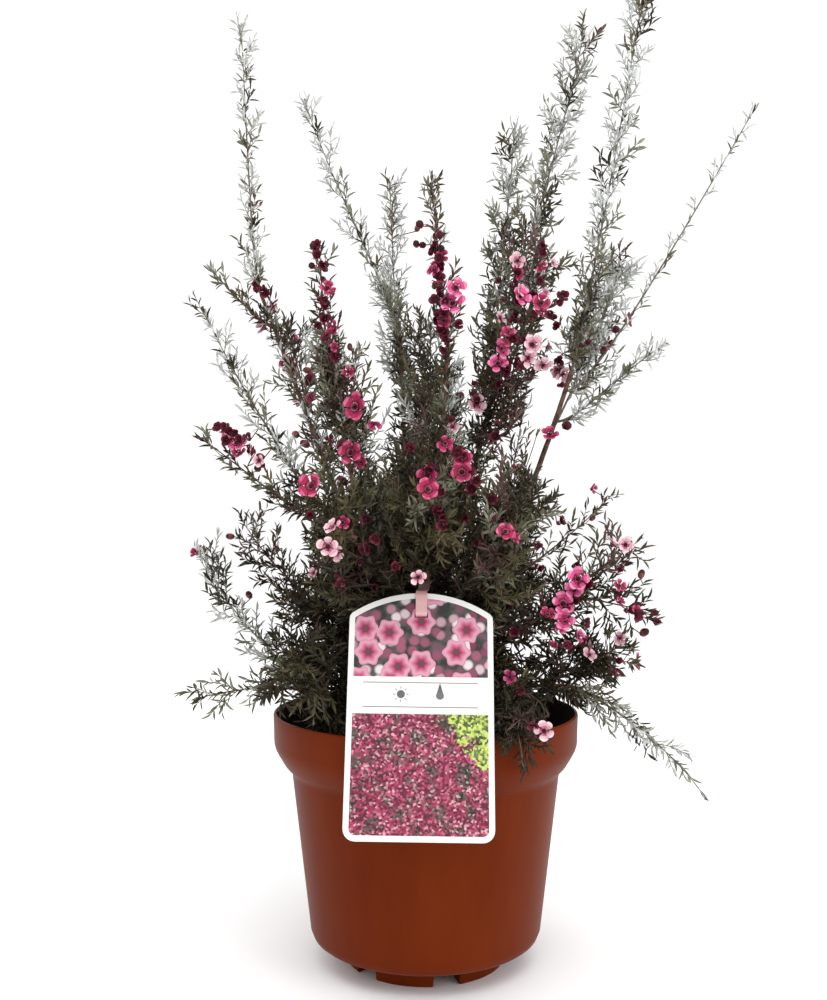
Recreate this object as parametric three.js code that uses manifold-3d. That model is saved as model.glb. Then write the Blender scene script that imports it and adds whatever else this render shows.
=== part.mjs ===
// A flowering shrub of 56 cm with narrow leaves and small pink blossoms, in a 17 cm nursery pot with a label.
// Millimetres, +Z up. The origin is the middle of the pot's flat underside. The label faces -Y.

import * as THREE from 'three';
import { mergeVertices } from 'three/addons/utils/BufferGeometryUtils.js';
import Module from 'manifold-3d';

const wasm = await Module();
wasm.setup();

const UP = new THREE.Vector3(0, 0, 1);

// Between two pieces that touch on the real plant
const CLEARANCE = 0.35;

// Pot: thin plastic, with a tall collar, and a raised foot that six drainage channels cut into
const POT_HEIGHT = 142.6;
const POT_WALL = 1.4;
const RIM_RADIUS = 88;
const COLLAR_RADIUS = 87.6;
const COLLAR_FOOT = 126;
const SHOULDER_RADIUS = 81.5;
const SHOULDER_HEIGHT = 113.4;
const NECK_RADIUS = 77.3;
const NECK_HEIGHT = 109;
const WAIST_RADIUS = 66.5;
const WAIST_HEIGHT = 19;
const BASE_RADIUS = 59.5;
const BASE_HEIGHT = 11.5;
const FOOT_RADIUS = 46;
const FOOT_DRAFT = 1.5;
const POT_FACETS = 28;
const CHANNELS = 6;
const CHANNEL_WIDTH = 15;
const CHANNEL_START = 27;
const CHANNEL_HEADING = -76;
const DRAIN_RADIUS = 4;
const DRAIN_OUT = 40;

// Potting mix: a low mound whose edge lies a little under the collar's mouth
const SOIL_LEVEL = 127;
const SOIL_EDGE = 124;
const SOIL_FLAT = 14;
const SOIL_FACETS = 14;

// Short trunk inside the crown: root flare, taper and a slight lean
const TRUNK_TOP = [-38, 3, 177];
const TRUNK_RADIUS = 4.6;
const TRUNK_TOP_RADIUS = 3.7;
const FLARE_RADIUS = 8.4;
const FLARE_HEIGHT = 0.12;

// Label: a plastic card that leans back on the rim, and a strap that ties its slot to a bough
const CARD_WIDTH = 75;
const CARD_LENGTH = 126;
const CARD_ARCH = 12;
const CARD_CORNER = 6;
const CARD_THICKNESS = 0.6;
const CARD_BELOW_RIM = 49;
const CARD_LEAN = 20;
const CARD_ROLL = -0.8;
const CARD_OFFSET = -3.8;
const SLOT_WIDTH = 9;
const SLOT_HEIGHT = 2.2;
const SLOT_BELOW_TOP = 11;
const STRAP_WIDTH = 6;
const STRAP_THICKNESS = 0.6;
const STRAP_RING = 1.6;

// Leaves, twigs and blossom, larger than life because they are fewer than on the real plant
const LEAF_WIDTH = 0.25;
const LEAF_THICKNESS = 0.07;
const LEAF_ROOT = 0.2;
const STEM_TIP_RADIUS = 0.5;
const TWIG_RADIUS = 0.75;
const TWIG_ANGLE = 46;
const LEAF_ANGLE = 38;
const GOLDEN_ANGLE = 137.5;
const BLOOM_RADIUS = 6.8;
const BLOOM_DEPTH = 6;
const BUD_RADIUS = 2.5;
const SPACE_MARGIN = 0.9;
const LIMB_MARGIN = 1.3;

// A twig or leaf that doesn't fit is turned around its stem by these angles, and is left out if none fits
const TRIES = [0, 75, -75, 150, -150];

// How a mass carries its leaves: along one long stem, or on twigs around it
const HABITS = {
  sprig: { stemLeaves: 12, twigs: 1, twigLeaves: 1, twigShare: 0.5, leaf: 19 },
  spray: { stemLeaves: 7, twigs: 3, twigLeaves: 1, twigShare: 0.55, leaf: 20 },
  bush: { stemLeaves: 3, twigs: 5, twigLeaves: 1, twigShare: 0.66, leaf: 26 },
};

// A limb grows from the trunk at a share of its height. A place is its heading in degrees from +X, its distance
// out from the pot's axis and its height. Rise turns the end up, or down when negative.
// name, share of the trunk, tip, rise, radius at the foot, radius at the tip
const LIMBS = [
  ['bough_leader', 1, [6, 50, 373], 0.2, 2.9, 1.7],
  ['bough_right', 0.9, [-14, 85, 338], 0.5, 2.9, 1.8],
  ['bough_left', 0.9, [170, 100, 388], 0.1, 2.7, 1.5],
  ['bough_spike', 0.8, [-64, 28, 349], 0.3, 2.4, 1.5],
  ['bough_back_left', 0.78, [111, 43, 367], 0.3, 2.5, 1.5],
  ['bough_left_front', 0.74, [-147, 65, 347], 0.7, 2.5, 1.5],
  ['bough_right_side', 0.66, [-21, 83, 209], 0.1, 2.3, 1.5],
  ['bough_left_low', 0.58, [-161, 76, 276], 0.4, 2.4, 1.5],
  ['bough_front', 0.52, [-91, 40, 221], 0.6, 2.3, 1.5],
  ['bough_back', 0.5, [79, 51, 227], 0.5, 2.5, 1.6],
  ['bough_left_side', 0.42, [173, 78, 205], 0.2, 2.3, 1.4],
  ['bough_low_right', 0.42, [-17, 84, 160], -0.2, 2.2, 1.4],
  ['bough_low_left', 0.26, [-158, 78, 159], 0, 2.1, 1.3],
];

// A mass of leaves grows on a limb at a share of its length. Reach is how far its leaves stand from its stem.
// name, limb, share of the limb, tip, rise, reach, habit, tint
const MASSES = [
  ['leader_far_left', 'bough_left', 1, [167, 115, 554], 0.3, 15, 'sprig', 'silver'],
  ['arm_left', 'bough_left', 0.92, [-173, 127, 399], 0.1, 13, 'spray', 'olive'],
  ['left_shoulder', 'bough_left', 0.74, [152, 96, 374], 0.4, 26, 'bush', 'olive'],
  ['bud_spike', 'bough_left_front', 1, [-139, 77, 405], 0.4, 13, 'spray', 'red'],
  ['heart_front', 'bough_left_front', 0.34, [-116, 42, 270], 0.5, 30, 'bush', 'olive'],
  ['heart_left', 'bough_left_low', 0.3, [-172, 66, 214], 0.5, 30, 'bush', 'olive'],
  ['heart_right', 'bough_right', 0.22, [42, 62, 226], 0.5, 30, 'bush', 'olive'],
  ['heart_back', 'bough_back_left', 0.3, [125, 62, 264], 0.5, 32, 'bush', 'olive'],
  ['mid_left', 'bough_left_front', 0.72, [-154, 46, 352], 0.5, 28, 'bush', 'olive'],
  ['leader_left', 'bough_back_left', 1, [147, 91, 517], 0.2, 16, 'sprig', 'silver'],
  ['grey_spray', 'bough_back_left', 0.88, [108, 73, 472], 0.5, 19, 'spray', 'silver'],
  ['bloom_spike', 'bough_spike', 1, [-87, 45, 444], 0.5, 14, 'spray', 'red'],
  ['mid_centre', 'bough_spike', 0.62, [-63, 6, 368], 0.5, 30, 'bush', 'olive'],
  ['leader_centre', 'bough_leader', 1, [9, 97, 547], 0.3, 19, 'sprig', 'silver'],
  ['side_spray', 'bough_leader', 0.9, [39, 72, 497], 0.5, 18, 'spray', 'silver'],
  ['mid_right', 'bough_leader', 0.72, [-32, 76, 382], 0.6, 28, 'bush', 'red'],
  ['leader_right', 'bough_right', 1, [-5, 126, 559], 0.2, 18, 'sprig', 'silver'],
  ['arm_right', 'bough_right', 0.94, [7, 203, 504], 0.1, 14, 'sprig', 'silver'],
  ['right_shoulder', 'bough_right', 0.84, [16, 126, 411], 0.3, 26, 'bush', 'silver'],
  ['right_side', 'bough_right', 0.72, [-21, 140, 350], -0.1, 20, 'spray', 'silver'],
  ['inner_right', 'bough_right', 0.5, [24, 66, 326], 0.5, 26, 'bush', 'olive'],
  ['right_mid', 'bough_right', 0.42, [19, 126, 270], 0.2, 24, 'spray', 'olive'],
  ['left_low_tall', 'bough_left_low', 1, [-160, 130, 369], 0.3, 18, 'sprig', 'silver'],
  ['left_low_pink', 'bough_left_low', 0.88, [-150, 139, 298], 0, 13, 'spray', 'red'],
  ['left_silver', 'bough_left_side', 1, [164, 144, 234], -0.1, 23, 'spray', 'silver'],
  ['left_upper', 'bough_left_side', 0.82, [175, 109, 252], 0.3, 24, 'spray', 'olive'],
  ['low_left', 'bough_low_left', 1, [-158, 136, 158], -0.2, 17, 'spray', 'silver'],
  ['skirt_left', 'bough_low_left', 0.66, [-133, 103, 187], 0.1, 32, 'bush', 'olive'],
  ['low_right', 'bough_low_right', 1, [-15, 160, 102], -0.5, 15, 'sprig', 'olive'],
  ['right_low', 'bough_low_right', 0.84, [5, 113, 177], 0.4, 28, 'bush', 'olive'],
  ['skirt_right', 'bough_right_side', 0.5, [-64, 110, 132], -1.2, 29, 'bush', 'olive'],
  ['right_bush', 'bough_right_side', 1, [-20, 133, 204], 0, 24, 'bush', 'olive'],
  ['right_bloom', 'bough_right_side', 0.8, [-29, 123, 243], 0.3, 24, 'bush', 'red'],
  ['front_centre', 'bough_front', 1, [-91, 95, 274], 0.6, 36, 'bush', 'olive'],
  ['front_left', 'bough_front', 0.82, [-122, 94, 264], 0.6, 36, 'bush', 'olive'],
  ['front_right', 'bough_front', 0.62, [-61, 92, 264], 0.7, 36, 'bush', 'olive'],
  ['back_centre', 'bough_back', 1, [88, 115, 347], 0.8, 38, 'bush', 'olive'],
  ['back_left', 'bough_back', 0.84, [122, 118, 312], 0.7, 38, 'bush', 'olive'],
  ['back_right', 'bough_back', 0.7, [52, 127, 312], 0.7, 38, 'bush', 'olive'],
  ['back_low_left', 'bough_back', 0.55, [118, 132, 206], 0.3, 36, 'bush', 'olive'],
  ['back_low_right', 'bough_back', 0.42, [61, 132, 206], 0.3, 36, 'bush', 'olive'],
];

// Open blooms and closed buds, by share of their mass's stem and the heading that they face
const BLOOMS = {
  mid_left: [[0.9, -80], [0.55, -60]],
  bloom_spike: [[0.22, -60]],
  mid_right: [[0.35, -110], [0.75, -60]],
  mid_centre: [[0.5, -100]],
  inner_right: [[0.8, -70]],
  left_low_pink: [[0.45, -100], [0.62, -60]],
  front_left: [[0.95, -100], [0.5, -130]],
  front_centre: [[0.9, -90]],
  front_right: [[0.92, -80], [0.7, -40]],
  right_bloom: [[0.75, -80], [0.45, -100]],
  right_bush: [[0.5, -90], [0.25, -60]],
  right_low: [[0.5, -60]],
  skirt_right: [[0.8, -40]],
  back_centre: [[0.85, 90]],
  back_left: [[0.7, 120]],
  back_right: [[0.8, 50]],
  back_low_right: [[0.7, 60]],
};
const BUDS = {
  bud_spike: [[0.98, -90], [0.8, 180]],
  bloom_spike: [[0.75, 0], [0.68, 180], [0.5, -90]],
  arm_left: [[0.3, -60]],
  mid_right: [[0.95, -100], [0.6, 180]],
  left_low_pink: [[0.85, -90]],
  right_bush: [[0.95, -30]],
};

const TINTS = { olive: 0x4a4a38, silver: 0x8d938a, red: 0x5d3f38 };

function place([heading, out, up]) {
  const angle = THREE.MathUtils.degToRad(heading);
  return new THREE.Vector3(out * Math.cos(angle), out * Math.sin(angle), up);
}

// Numbers from 0 to 1 that come out the same for the same seed
function seeded(seed) {
  let state = seed >>> 0;
  return () => {
    state = (state + 0x6d2b79f5) >>> 0;
    let mixed = Math.imul(state ^ (state >>> 15), state | 1);
    mixed ^= mixed + Math.imul(mixed ^ (mixed >>> 7), mixed | 61);
    return ((mixed ^ (mixed >>> 14)) >>> 0) / 4294967296;
  };
}

function toSolid(geometry) {
  const bare = geometry.clone();
  bare.deleteAttribute('normal');
  bare.deleteAttribute('uv');
  const merged = mergeVertices(bare);
  return new wasm.Manifold(new wasm.Mesh({
    numProp: 3,
    vertProperties: Float32Array.from(merged.attributes.position.array),
    triVerts: Uint32Array.from(merged.index.array),
  }));
}

function toGeometry(solid) {
  const mesh = solid.getMesh();
  const geometry = new THREE.BufferGeometry();
  geometry.setAttribute('position', new THREE.BufferAttribute(mesh.vertProperties, 3));
  geometry.setIndex(new THREE.BufferAttribute(mesh.triVerts, 1));
  geometry.computeVertexNormals();
  return geometry;
}

function named(name, geometry, color, roughness) {
  const mesh = new THREE.Mesh(geometry, new THREE.MeshStandardMaterial({ color, roughness, metalness: 0 }));
  mesh.name = name;
  return mesh;
}

// A frame that is carried along a curve without twisting, as [point, tangent, side, lift] at each share
function framesAlong(curve, shares) {
  let side = new THREE.Vector3(0.31, 0.95, 0.02);
  return shares.map((share) => {
    const tangent = curve.getTangent(share);
    side = side.clone().addScaledVector(tangent, -side.dot(tangent)).normalize();
    return { point: curve.getPoint(share), tangent, side, lift: side.clone().cross(tangent) };
  });
}

// A tapering tube along a curve, made of a cylinder whose rings are moved onto the curve
function taperedTube(curve, shares, radiusAt, sides) {
  const frames = framesAlong(curve, shares);
  const rings = shares.length - 1;
  const geometry = new THREE.CylinderGeometry(1, 1, rings, sides, rings);
  const position = geometry.attributes.position;
  for (let i = 0; i < position.count; i += 1) {
    const ring = Math.round(position.getY(i) + rings / 2);
    const frame = frames[ring];
    const radius = radiusAt(shares[ring]);
    const moved = frame.point.clone()
      .addScaledVector(frame.side, position.getX(i) * radius)
      .addScaledVector(frame.lift, position.getZ(i) * radius);
    position.setXYZ(i, moved.x, moved.y, moved.z);
  }
  return geometry;
}

// The curve of a limb or stem: it leaves its carrier squarely and bends over to its tip
function growthCurve(start, leaving, tip, rise) {
  const span = tip.clone().sub(start);
  const length = span.length();
  const arriving = span.clone().normalize().addScaledVector(UP, rise).normalize();
  return new THREE.CubicBezierCurve3(
    start,
    start.clone().addScaledVector(leaving, 0.07 * length + 4),
    tip.clone().addScaledVector(arriving, -0.36 * length),
    tip,
  );
}

// Where a limb or stem starts on its carrier: clear of its end, or square to its side
function startOn(carrier, share, tip) {
  const point = carrier.curve.getPoint(share);
  const tangent = carrier.curve.getTangent(share);
  if (share === 1) {
    return { start: point.addScaledVector(tangent, CLEARANCE), leaving: tangent };
  }
  const leaving = tip.clone().sub(point);
  leaving.addScaledVector(tangent, -leaving.dot(tangent)).normalize();
  return { start: point.addScaledVector(leaving, carrier.radiusAt(share) + CLEARANCE), leaving };
}

function sampleLine(curve, steps) {
  return curve.getPoints(steps);
}

function distanceToLine(point, line) {
  const nearest = new THREE.Vector3();
  let best = Infinity;
  for (let i = 1; i < line.length; i += 1) {
    new THREE.Line3(line[i - 1], line[i]).closestPointToPoint(point, true, nearest);
    best = Math.min(best, nearest.distanceTo(point));
  }
  return best;
}

// The pot's outline as a profile that is moved in by inset and lifted by rise, from the axis at the bottom
function potProfile(inset, rise) {
  return [
    [0, rise],
    [FOOT_RADIUS - inset, rise],
    [FOOT_RADIUS + FOOT_DRAFT - inset, BASE_HEIGHT + rise],
    [BASE_RADIUS - inset, BASE_HEIGHT + rise],
    [WAIST_RADIUS - 1.5 - inset, WAIST_HEIGHT - 4 + 0.4 * rise],
    [WAIST_RADIUS - inset, WAIST_HEIGHT],
    [NECK_RADIUS - inset, NECK_HEIGHT + 0.5 * rise],
    [SHOULDER_RADIUS - inset, SHOULDER_HEIGHT + 0.5 * rise],
    [COLLAR_RADIUS - 2.2 - inset, COLLAR_FOOT - 6],
    [COLLAR_RADIUS - inset, COLLAR_FOOT],
  ];
}

function revolve(profile, facets) {
  const points = profile.map(([radius, height]) => new THREE.Vector2(radius, height));
  return toSolid(new THREE.LatheGeometry(points, facets).rotateX(Math.PI / 2));
}

// The channels that run out under the floor, each grown by the wall of what they are cut from
function channels(growth) {
  const length = RIM_RADIUS - CHANNEL_START + growth;
  return Array.from({ length: CHANNELS }, (_, i) => {
    const heading = THREE.MathUtils.degToRad(CHANNEL_HEADING + (i * 360) / CHANNELS);
    const top = BASE_HEIGHT + growth;
    const geometry = new THREE.BoxGeometry(length, CHANNEL_WIDTH + 2 * growth, top + 10)
      .translate(CHANNEL_START - growth + length / 2, 0, top - (top + 10) / 2)
      .rotateZ(heading);
    return toSolid(geometry);
  });
}

function subtractAll(solid, cutters) {
  return cutters.reduce((left, cutter) => left.subtract(cutter), solid);
}

function makePot() {
  const outside = potProfile(0, 0).concat([[RIM_RADIUS, POT_HEIGHT], [0, POT_HEIGHT]]);
  const above = POT_HEIGHT + 1;
  const inside = potProfile(POT_WALL, POT_WALL).concat([[RIM_RADIUS - POT_WALL, above], [0, above]]);
  const cavity = subtractAll(revolve(inside, POT_FACETS), channels(POT_WALL));
  const shell = subtractAll(revolve(outside, POT_FACETS), channels(0)).subtract(cavity);
  const drains = Array.from({ length: CHANNELS }, (_, i) => {
    const heading = THREE.MathUtils.degToRad(CHANNEL_HEADING + (i * 360) / CHANNELS);
    const hole = new THREE.CylinderGeometry(DRAIN_RADIUS, DRAIN_RADIUS, 4 * POT_WALL, 6)
      .rotateX(Math.PI / 2)
      .translate(DRAIN_OUT, 0, BASE_HEIGHT + POT_WALL / 2)
      .rotateZ(heading);
    return toSolid(hole);
  });
  return named('pot', toGeometry(subtractAll(shell, drains)), 0x8a3f20, 0.45);
}

function makeSoil() {
  const inset = POT_WALL + CLEARANCE;
  const bed = potProfile(inset, inset).slice(0, -1);
  const edge = COLLAR_RADIUS - 2 - inset;
  const surface = [[edge, SOIL_EDGE], [SOIL_FLAT, SOIL_LEVEL], [0, SOIL_LEVEL]];
  const mound = revolve(bed.concat(surface), SOIL_FACETS);
  return named('soil', toGeometry(subtractAll(mound, channels(inset))), 0x1c1613, 0.95);
}

const trunkTop = place(TRUNK_TOP);
const trunk = {
  name: 'trunk',
  curve: new THREE.QuadraticBezierCurve3(
    new THREE.Vector3(0, 0, SOIL_LEVEL + CLEARANCE),
    new THREE.Vector3(0, 0, (SOIL_LEVEL + trunkTop.z) / 2),
    trunkTop,
  ),
  radiusAt: (share) => {
    const shaft = THREE.MathUtils.lerp(TRUNK_RADIUS, TRUNK_TOP_RADIUS, share);
    const flare = Math.max(0, 1 - share / FLARE_HEIGHT);
    return shaft + (FLARE_RADIUS - TRUNK_RADIUS) * flare * flare;
  },
};

function makeTrunk() {
  const shares = [0, 0.03, 0.07, FLARE_HEIGHT, 0.4, 0.7, 1];
  return named('trunk', taperedTube(trunk.curve, shares, trunk.radiusAt, 10), 0x5a4334, 0.9);
}

function limbOf([name, share, tipPlace, rise, footRadius, tipRadius]) {
  const tip = place(tipPlace);
  const { start, leaving } = startOn(trunk, share, tip);
  const curve = growthCurve(start, leaving, tip, rise);
  return { name, curve, radiusAt: (along) => THREE.MathUtils.lerp(footRadius, tipRadius, along) };
}

function makeLimb(limb) {
  const shares = [0, 0.07, 0.17, 0.35, 0.56, 0.78, 1];
  return named(limb.name, taperedTube(limb.curve, shares, limb.radiusAt, 5), 0x5e4636, 0.85);
}

function massOf([name, on, share, tipPlace, rise, reach, habit, tint], limbs) {
  const carrier = limbs.find((limb) => limb.name === on);
  const habitOf = HABITS[habit];
  const end = place(tipPlace);
  const { start, leaving } = startOn(carrier, share, end);
  const inward = start.clone().sub(end).normalize();
  const tip = end.addScaledVector(inward, 0.7 * habitOf.leaf);
  const curve = growthCurve(start, leaving, tip, rise);
  const footRadius = Math.min(1.4, carrier.radiusAt(share) - 0.1);
  const radiusAt = (along) => THREE.MathUtils.lerp(footRadius, STEM_TIP_RADIUS, along);
  return { name, curve, radiusAt, reach, habit: habitOf, tint };
}

// The outline of the card in its own plane, with a slot for the strap, from its bottom edge up
function cardShape() {
  const half = CARD_WIDTH / 2;
  const shoulder = CARD_LENGTH - CARD_ARCH;
  const shape = new THREE.Shape();
  shape.moveTo(-half + CARD_CORNER, 0);
  shape.lineTo(half - CARD_CORNER, 0);
  shape.absarc(half - CARD_CORNER, CARD_CORNER, CARD_CORNER, -Math.PI / 2, 0);
  shape.lineTo(half, shoulder - 2);
  shape.quadraticCurveTo(half - 1, shoulder + 2, half - 8, shoulder + 4);
  shape.quadraticCurveTo(half / 2, CARD_LENGTH, 0, CARD_LENGTH);
  shape.quadraticCurveTo(-half / 2, CARD_LENGTH, -half + 8, shoulder + 4);
  shape.quadraticCurveTo(-half + 1, shoulder + 2, -half, shoulder - 2);
  shape.lineTo(-half, CARD_CORNER);
  shape.absarc(-half + CARD_CORNER, CARD_CORNER, CARD_CORNER, Math.PI, 1.5 * Math.PI);
  const slotTop = CARD_LENGTH - SLOT_BELOW_TOP;
  const slot = new THREE.Path();
  slot.moveTo(-SLOT_WIDTH / 2, slotTop - SLOT_HEIGHT);
  slot.lineTo(-SLOT_WIDTH / 2, slotTop);
  slot.lineTo(SLOT_WIDTH / 2, slotTop);
  slot.lineTo(SLOT_WIDTH / 2, slotTop - SLOT_HEIGHT);
  slot.closePath();
  shape.holes.push(slot);
  return shape;
}

// From the card's own plane (across, along, out of its face) to its place on the rim
const cardPlace = new THREE.Matrix4()
  .makeTranslation(CARD_OFFSET, -RIM_RADIUS - CLEARANCE, POT_HEIGHT)
  .multiply(new THREE.Matrix4().makeRotationX(Math.PI / 2 - THREE.MathUtils.degToRad(CARD_LEAN)))
  .multiply(new THREE.Matrix4().makeRotationZ(THREE.MathUtils.degToRad(CARD_ROLL)))
  .multiply(new THREE.Matrix4().makeTranslation(0, -CARD_BELOW_RIM, 0));

function makeCard() {
  const geometry = new THREE.ExtrudeGeometry(cardShape(), {
    depth: CARD_THICKNESS, bevelEnabled: false, curveSegments: 4,
  });
  return named('label_card', toGeometry(toSolid(geometry.applyMatrix4(cardPlace))), 0xf2f0ec, 0.4);
}

// The strap: a band through the slot, over the card's top edge and back to a ring around the bough
function makeStrap(carrier) {
  const face = CARD_THICKNESS + CLEARANCE + STRAP_THICKNESS / 2;
  const slotMiddle = CARD_LENGTH - SLOT_BELOW_TOP - SLOT_HEIGHT / 2;
  const onCard = [
    [slotMiddle, -3.2],
    [slotMiddle, CARD_THICKNESS / 2],
    [slotMiddle + 1, face + 0.3],
    [slotMiddle + 5, face],
    [CARD_LENGTH - 1, face + 0.1],
    [CARD_LENGTH + 1.4, 0],
  ].map(([along, outward]) => new THREE.Vector3(0, along, outward).applyMatrix4(cardPlace));
  const share = 0.985;
  const hub = carrier.curve.getPoint(share);
  const inner = carrier.radiusAt(share) + CLEARANCE;
  const knot = hub.clone().add(new THREE.Vector3(0, -inner - STRAP_RING / 2, 0));
  const bend = knot.clone().lerp(onCard.at(-1), 0.5).addScaledVector(UP, -2);
  const path = new THREE.CatmullRomCurve3([...onCard, bend, knot]);
  const steps = 16;
  const band = new THREE.BoxGeometry(STRAP_WIDTH, STRAP_THICKNESS, steps, 1, 1, steps);
  const position = band.attributes.position;
  for (let i = 0; i < position.count; i += 1) {
    const along = position.getZ(i) / steps + 0.5;
    const tangent = path.getTangent(along);
    const across = new THREE.Vector3(1, 0, 0).addScaledVector(tangent, -tangent.x).normalize();
    const normal = tangent.clone().cross(across);
    const moved = path.getPoint(along)
      .addScaledVector(across, position.getX(i))
      .addScaledVector(normal, position.getY(i));
    position.setXYZ(i, moved.x, moved.y, moved.z);
  }
  const outer = inner + STRAP_RING;
  const half = STRAP_RING / 2;
  const profile = [[inner, -half], [outer, -half], [outer, half], [inner, half], [inner, -half]];
  const points = profile.map(([radius, height]) => new THREE.Vector2(radius, height));
  const ring = new THREE.LatheGeometry(points, 12);
  const turn = new THREE.Quaternion().setFromUnitVectors(
    new THREE.Vector3(0, 1, 0),
    carrier.curve.getTangent(share),
  );
  ring.applyQuaternion(turn).translate(hub.x, hub.y, hub.z);
  return named('label_strap', toGeometry(toSolid(band).add(toSolid(ring))), 0xe6b9bd, 0.5);
}

// Whether a point is clear of the pot, the soil and the label
function clearOfMadeThings(point) {
  const out = Math.hypot(point.x, point.y);
  const overSoil = out < COLLAR_RADIUS - 6;
  if (overSoil && point.z < SOIL_LEVEL + 2) {
    return false;
  }
  if (!overSoil && out < RIM_RADIUS + 2 && point.z < POT_HEIGHT + 2) {
    return false;
  }
  const onCard = point.clone().applyMatrix4(cardPlace.clone().invert());
  const beside = Math.abs(onCard.x) > CARD_WIDTH / 2 + 1.5;
  const beyond = onCard.y < -1.5 || onCard.y > CARD_LENGTH + 1.5;
  const nearFace = onCard.z > -1.6 && onCard.z < CARD_THICKNESS + 2.4;
  const nearStrap = Math.abs(onCard.x) < 6 && onCard.y > CARD_LENGTH - 16 && onCard.y < CARD_LENGTH + 10
    && onCard.z > -40 && onCard.z < 4;
  return !(nearFace && !beside && !beyond) && !nearStrap;
}

// Whether a point lies in the mass's own space and touches no limb
function inOwnSpace(point, mass, masses, limbs) {
  const own = distanceToLine(point, mass.line);
  if (own > mass.reach || !clearOfMadeThings(point)) {
    return false;
  }
  const share = own / mass.reach;
  const crowded = masses.some((other) => (
    other !== mass && (distanceToLine(point, other.line) - SPACE_MARGIN) / other.reach < share
  ));
  return !crowded && limbs.every((limb) => (
    distanceToLine(point, limb.line) > limb.radiusAt(0) + LIMB_MARGIN
  ));
}

// A narrow leaf with a flat face above and a keel below, its root at the origin and its tip along +Y
function leafGeometry(length) {
  const width = LEAF_WIDTH * length;
  const thickness = LEAF_THICKNESS * length;
  const geometry = new THREE.SphereGeometry(1, 3, 2);
  const position = geometry.attributes.position;
  for (let i = 0; i < position.count; i += 1) {
    const middle = Math.abs(position.getY(i)) < 0.5;
    const along = middle ? 0.42 : (position.getY(i) + 1) / 2;
    position.setXYZ(i, position.getX(i) * thickness / 1.5, along * length, position.getZ(i) * width / 1.73);
  }
  return geometry;
}

// A five-lobed bloom that opens along +Y from a point at the origin
function bloomGeometry() {
  const geometry = new THREE.SphereGeometry(1, 10, 2);
  const position = geometry.attributes.position;
  for (let i = 0; i < position.count; i += 1) {
    const x = position.getX(i);
    const y = position.getY(i);
    const z = position.getZ(i);
    if (Math.abs(y) > 0.5) {
      position.setXYZ(i, 0, y > 0 ? BLOOM_DEPTH - 1.2 : 0, 0);
    } else {
      const lobe = Math.round(Math.atan2(z, x) / (Math.PI / 5)) % 2 === 0;
      const radius = lobe ? BLOOM_RADIUS : 0.58 * BLOOM_RADIUS;
      position.setXYZ(i, x * radius, lobe ? BLOOM_DEPTH + 0.6 : BLOOM_DEPTH - 0.8, z * radius);
    }
  }
  return geometry;
}

// Stands a geometry that points along +Y at a place, along a direction, with its flat side towards facing
function stand(geometry, at, direction, facing) {
  const across = facing.clone().cross(direction).normalize();
  const flat = direction.clone().cross(across).normalize();
  const basis = new THREE.Matrix4().makeBasis(flat, direction, across).setPosition(at);
  return geometry.applyMatrix4(basis);
}

function between(axis, radial, degrees) {
  const angle = THREE.MathUtils.degToRad(degrees);
  return axis.clone().multiplyScalar(Math.cos(angle)).addScaledVector(radial, Math.sin(angle));
}

function around(frame, degrees) {
  const angle = THREE.MathUtils.degToRad(degrees);
  return frame.side.clone().multiplyScalar(Math.cos(angle)).addScaledVector(frame.lift, Math.sin(angle));
}

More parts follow.
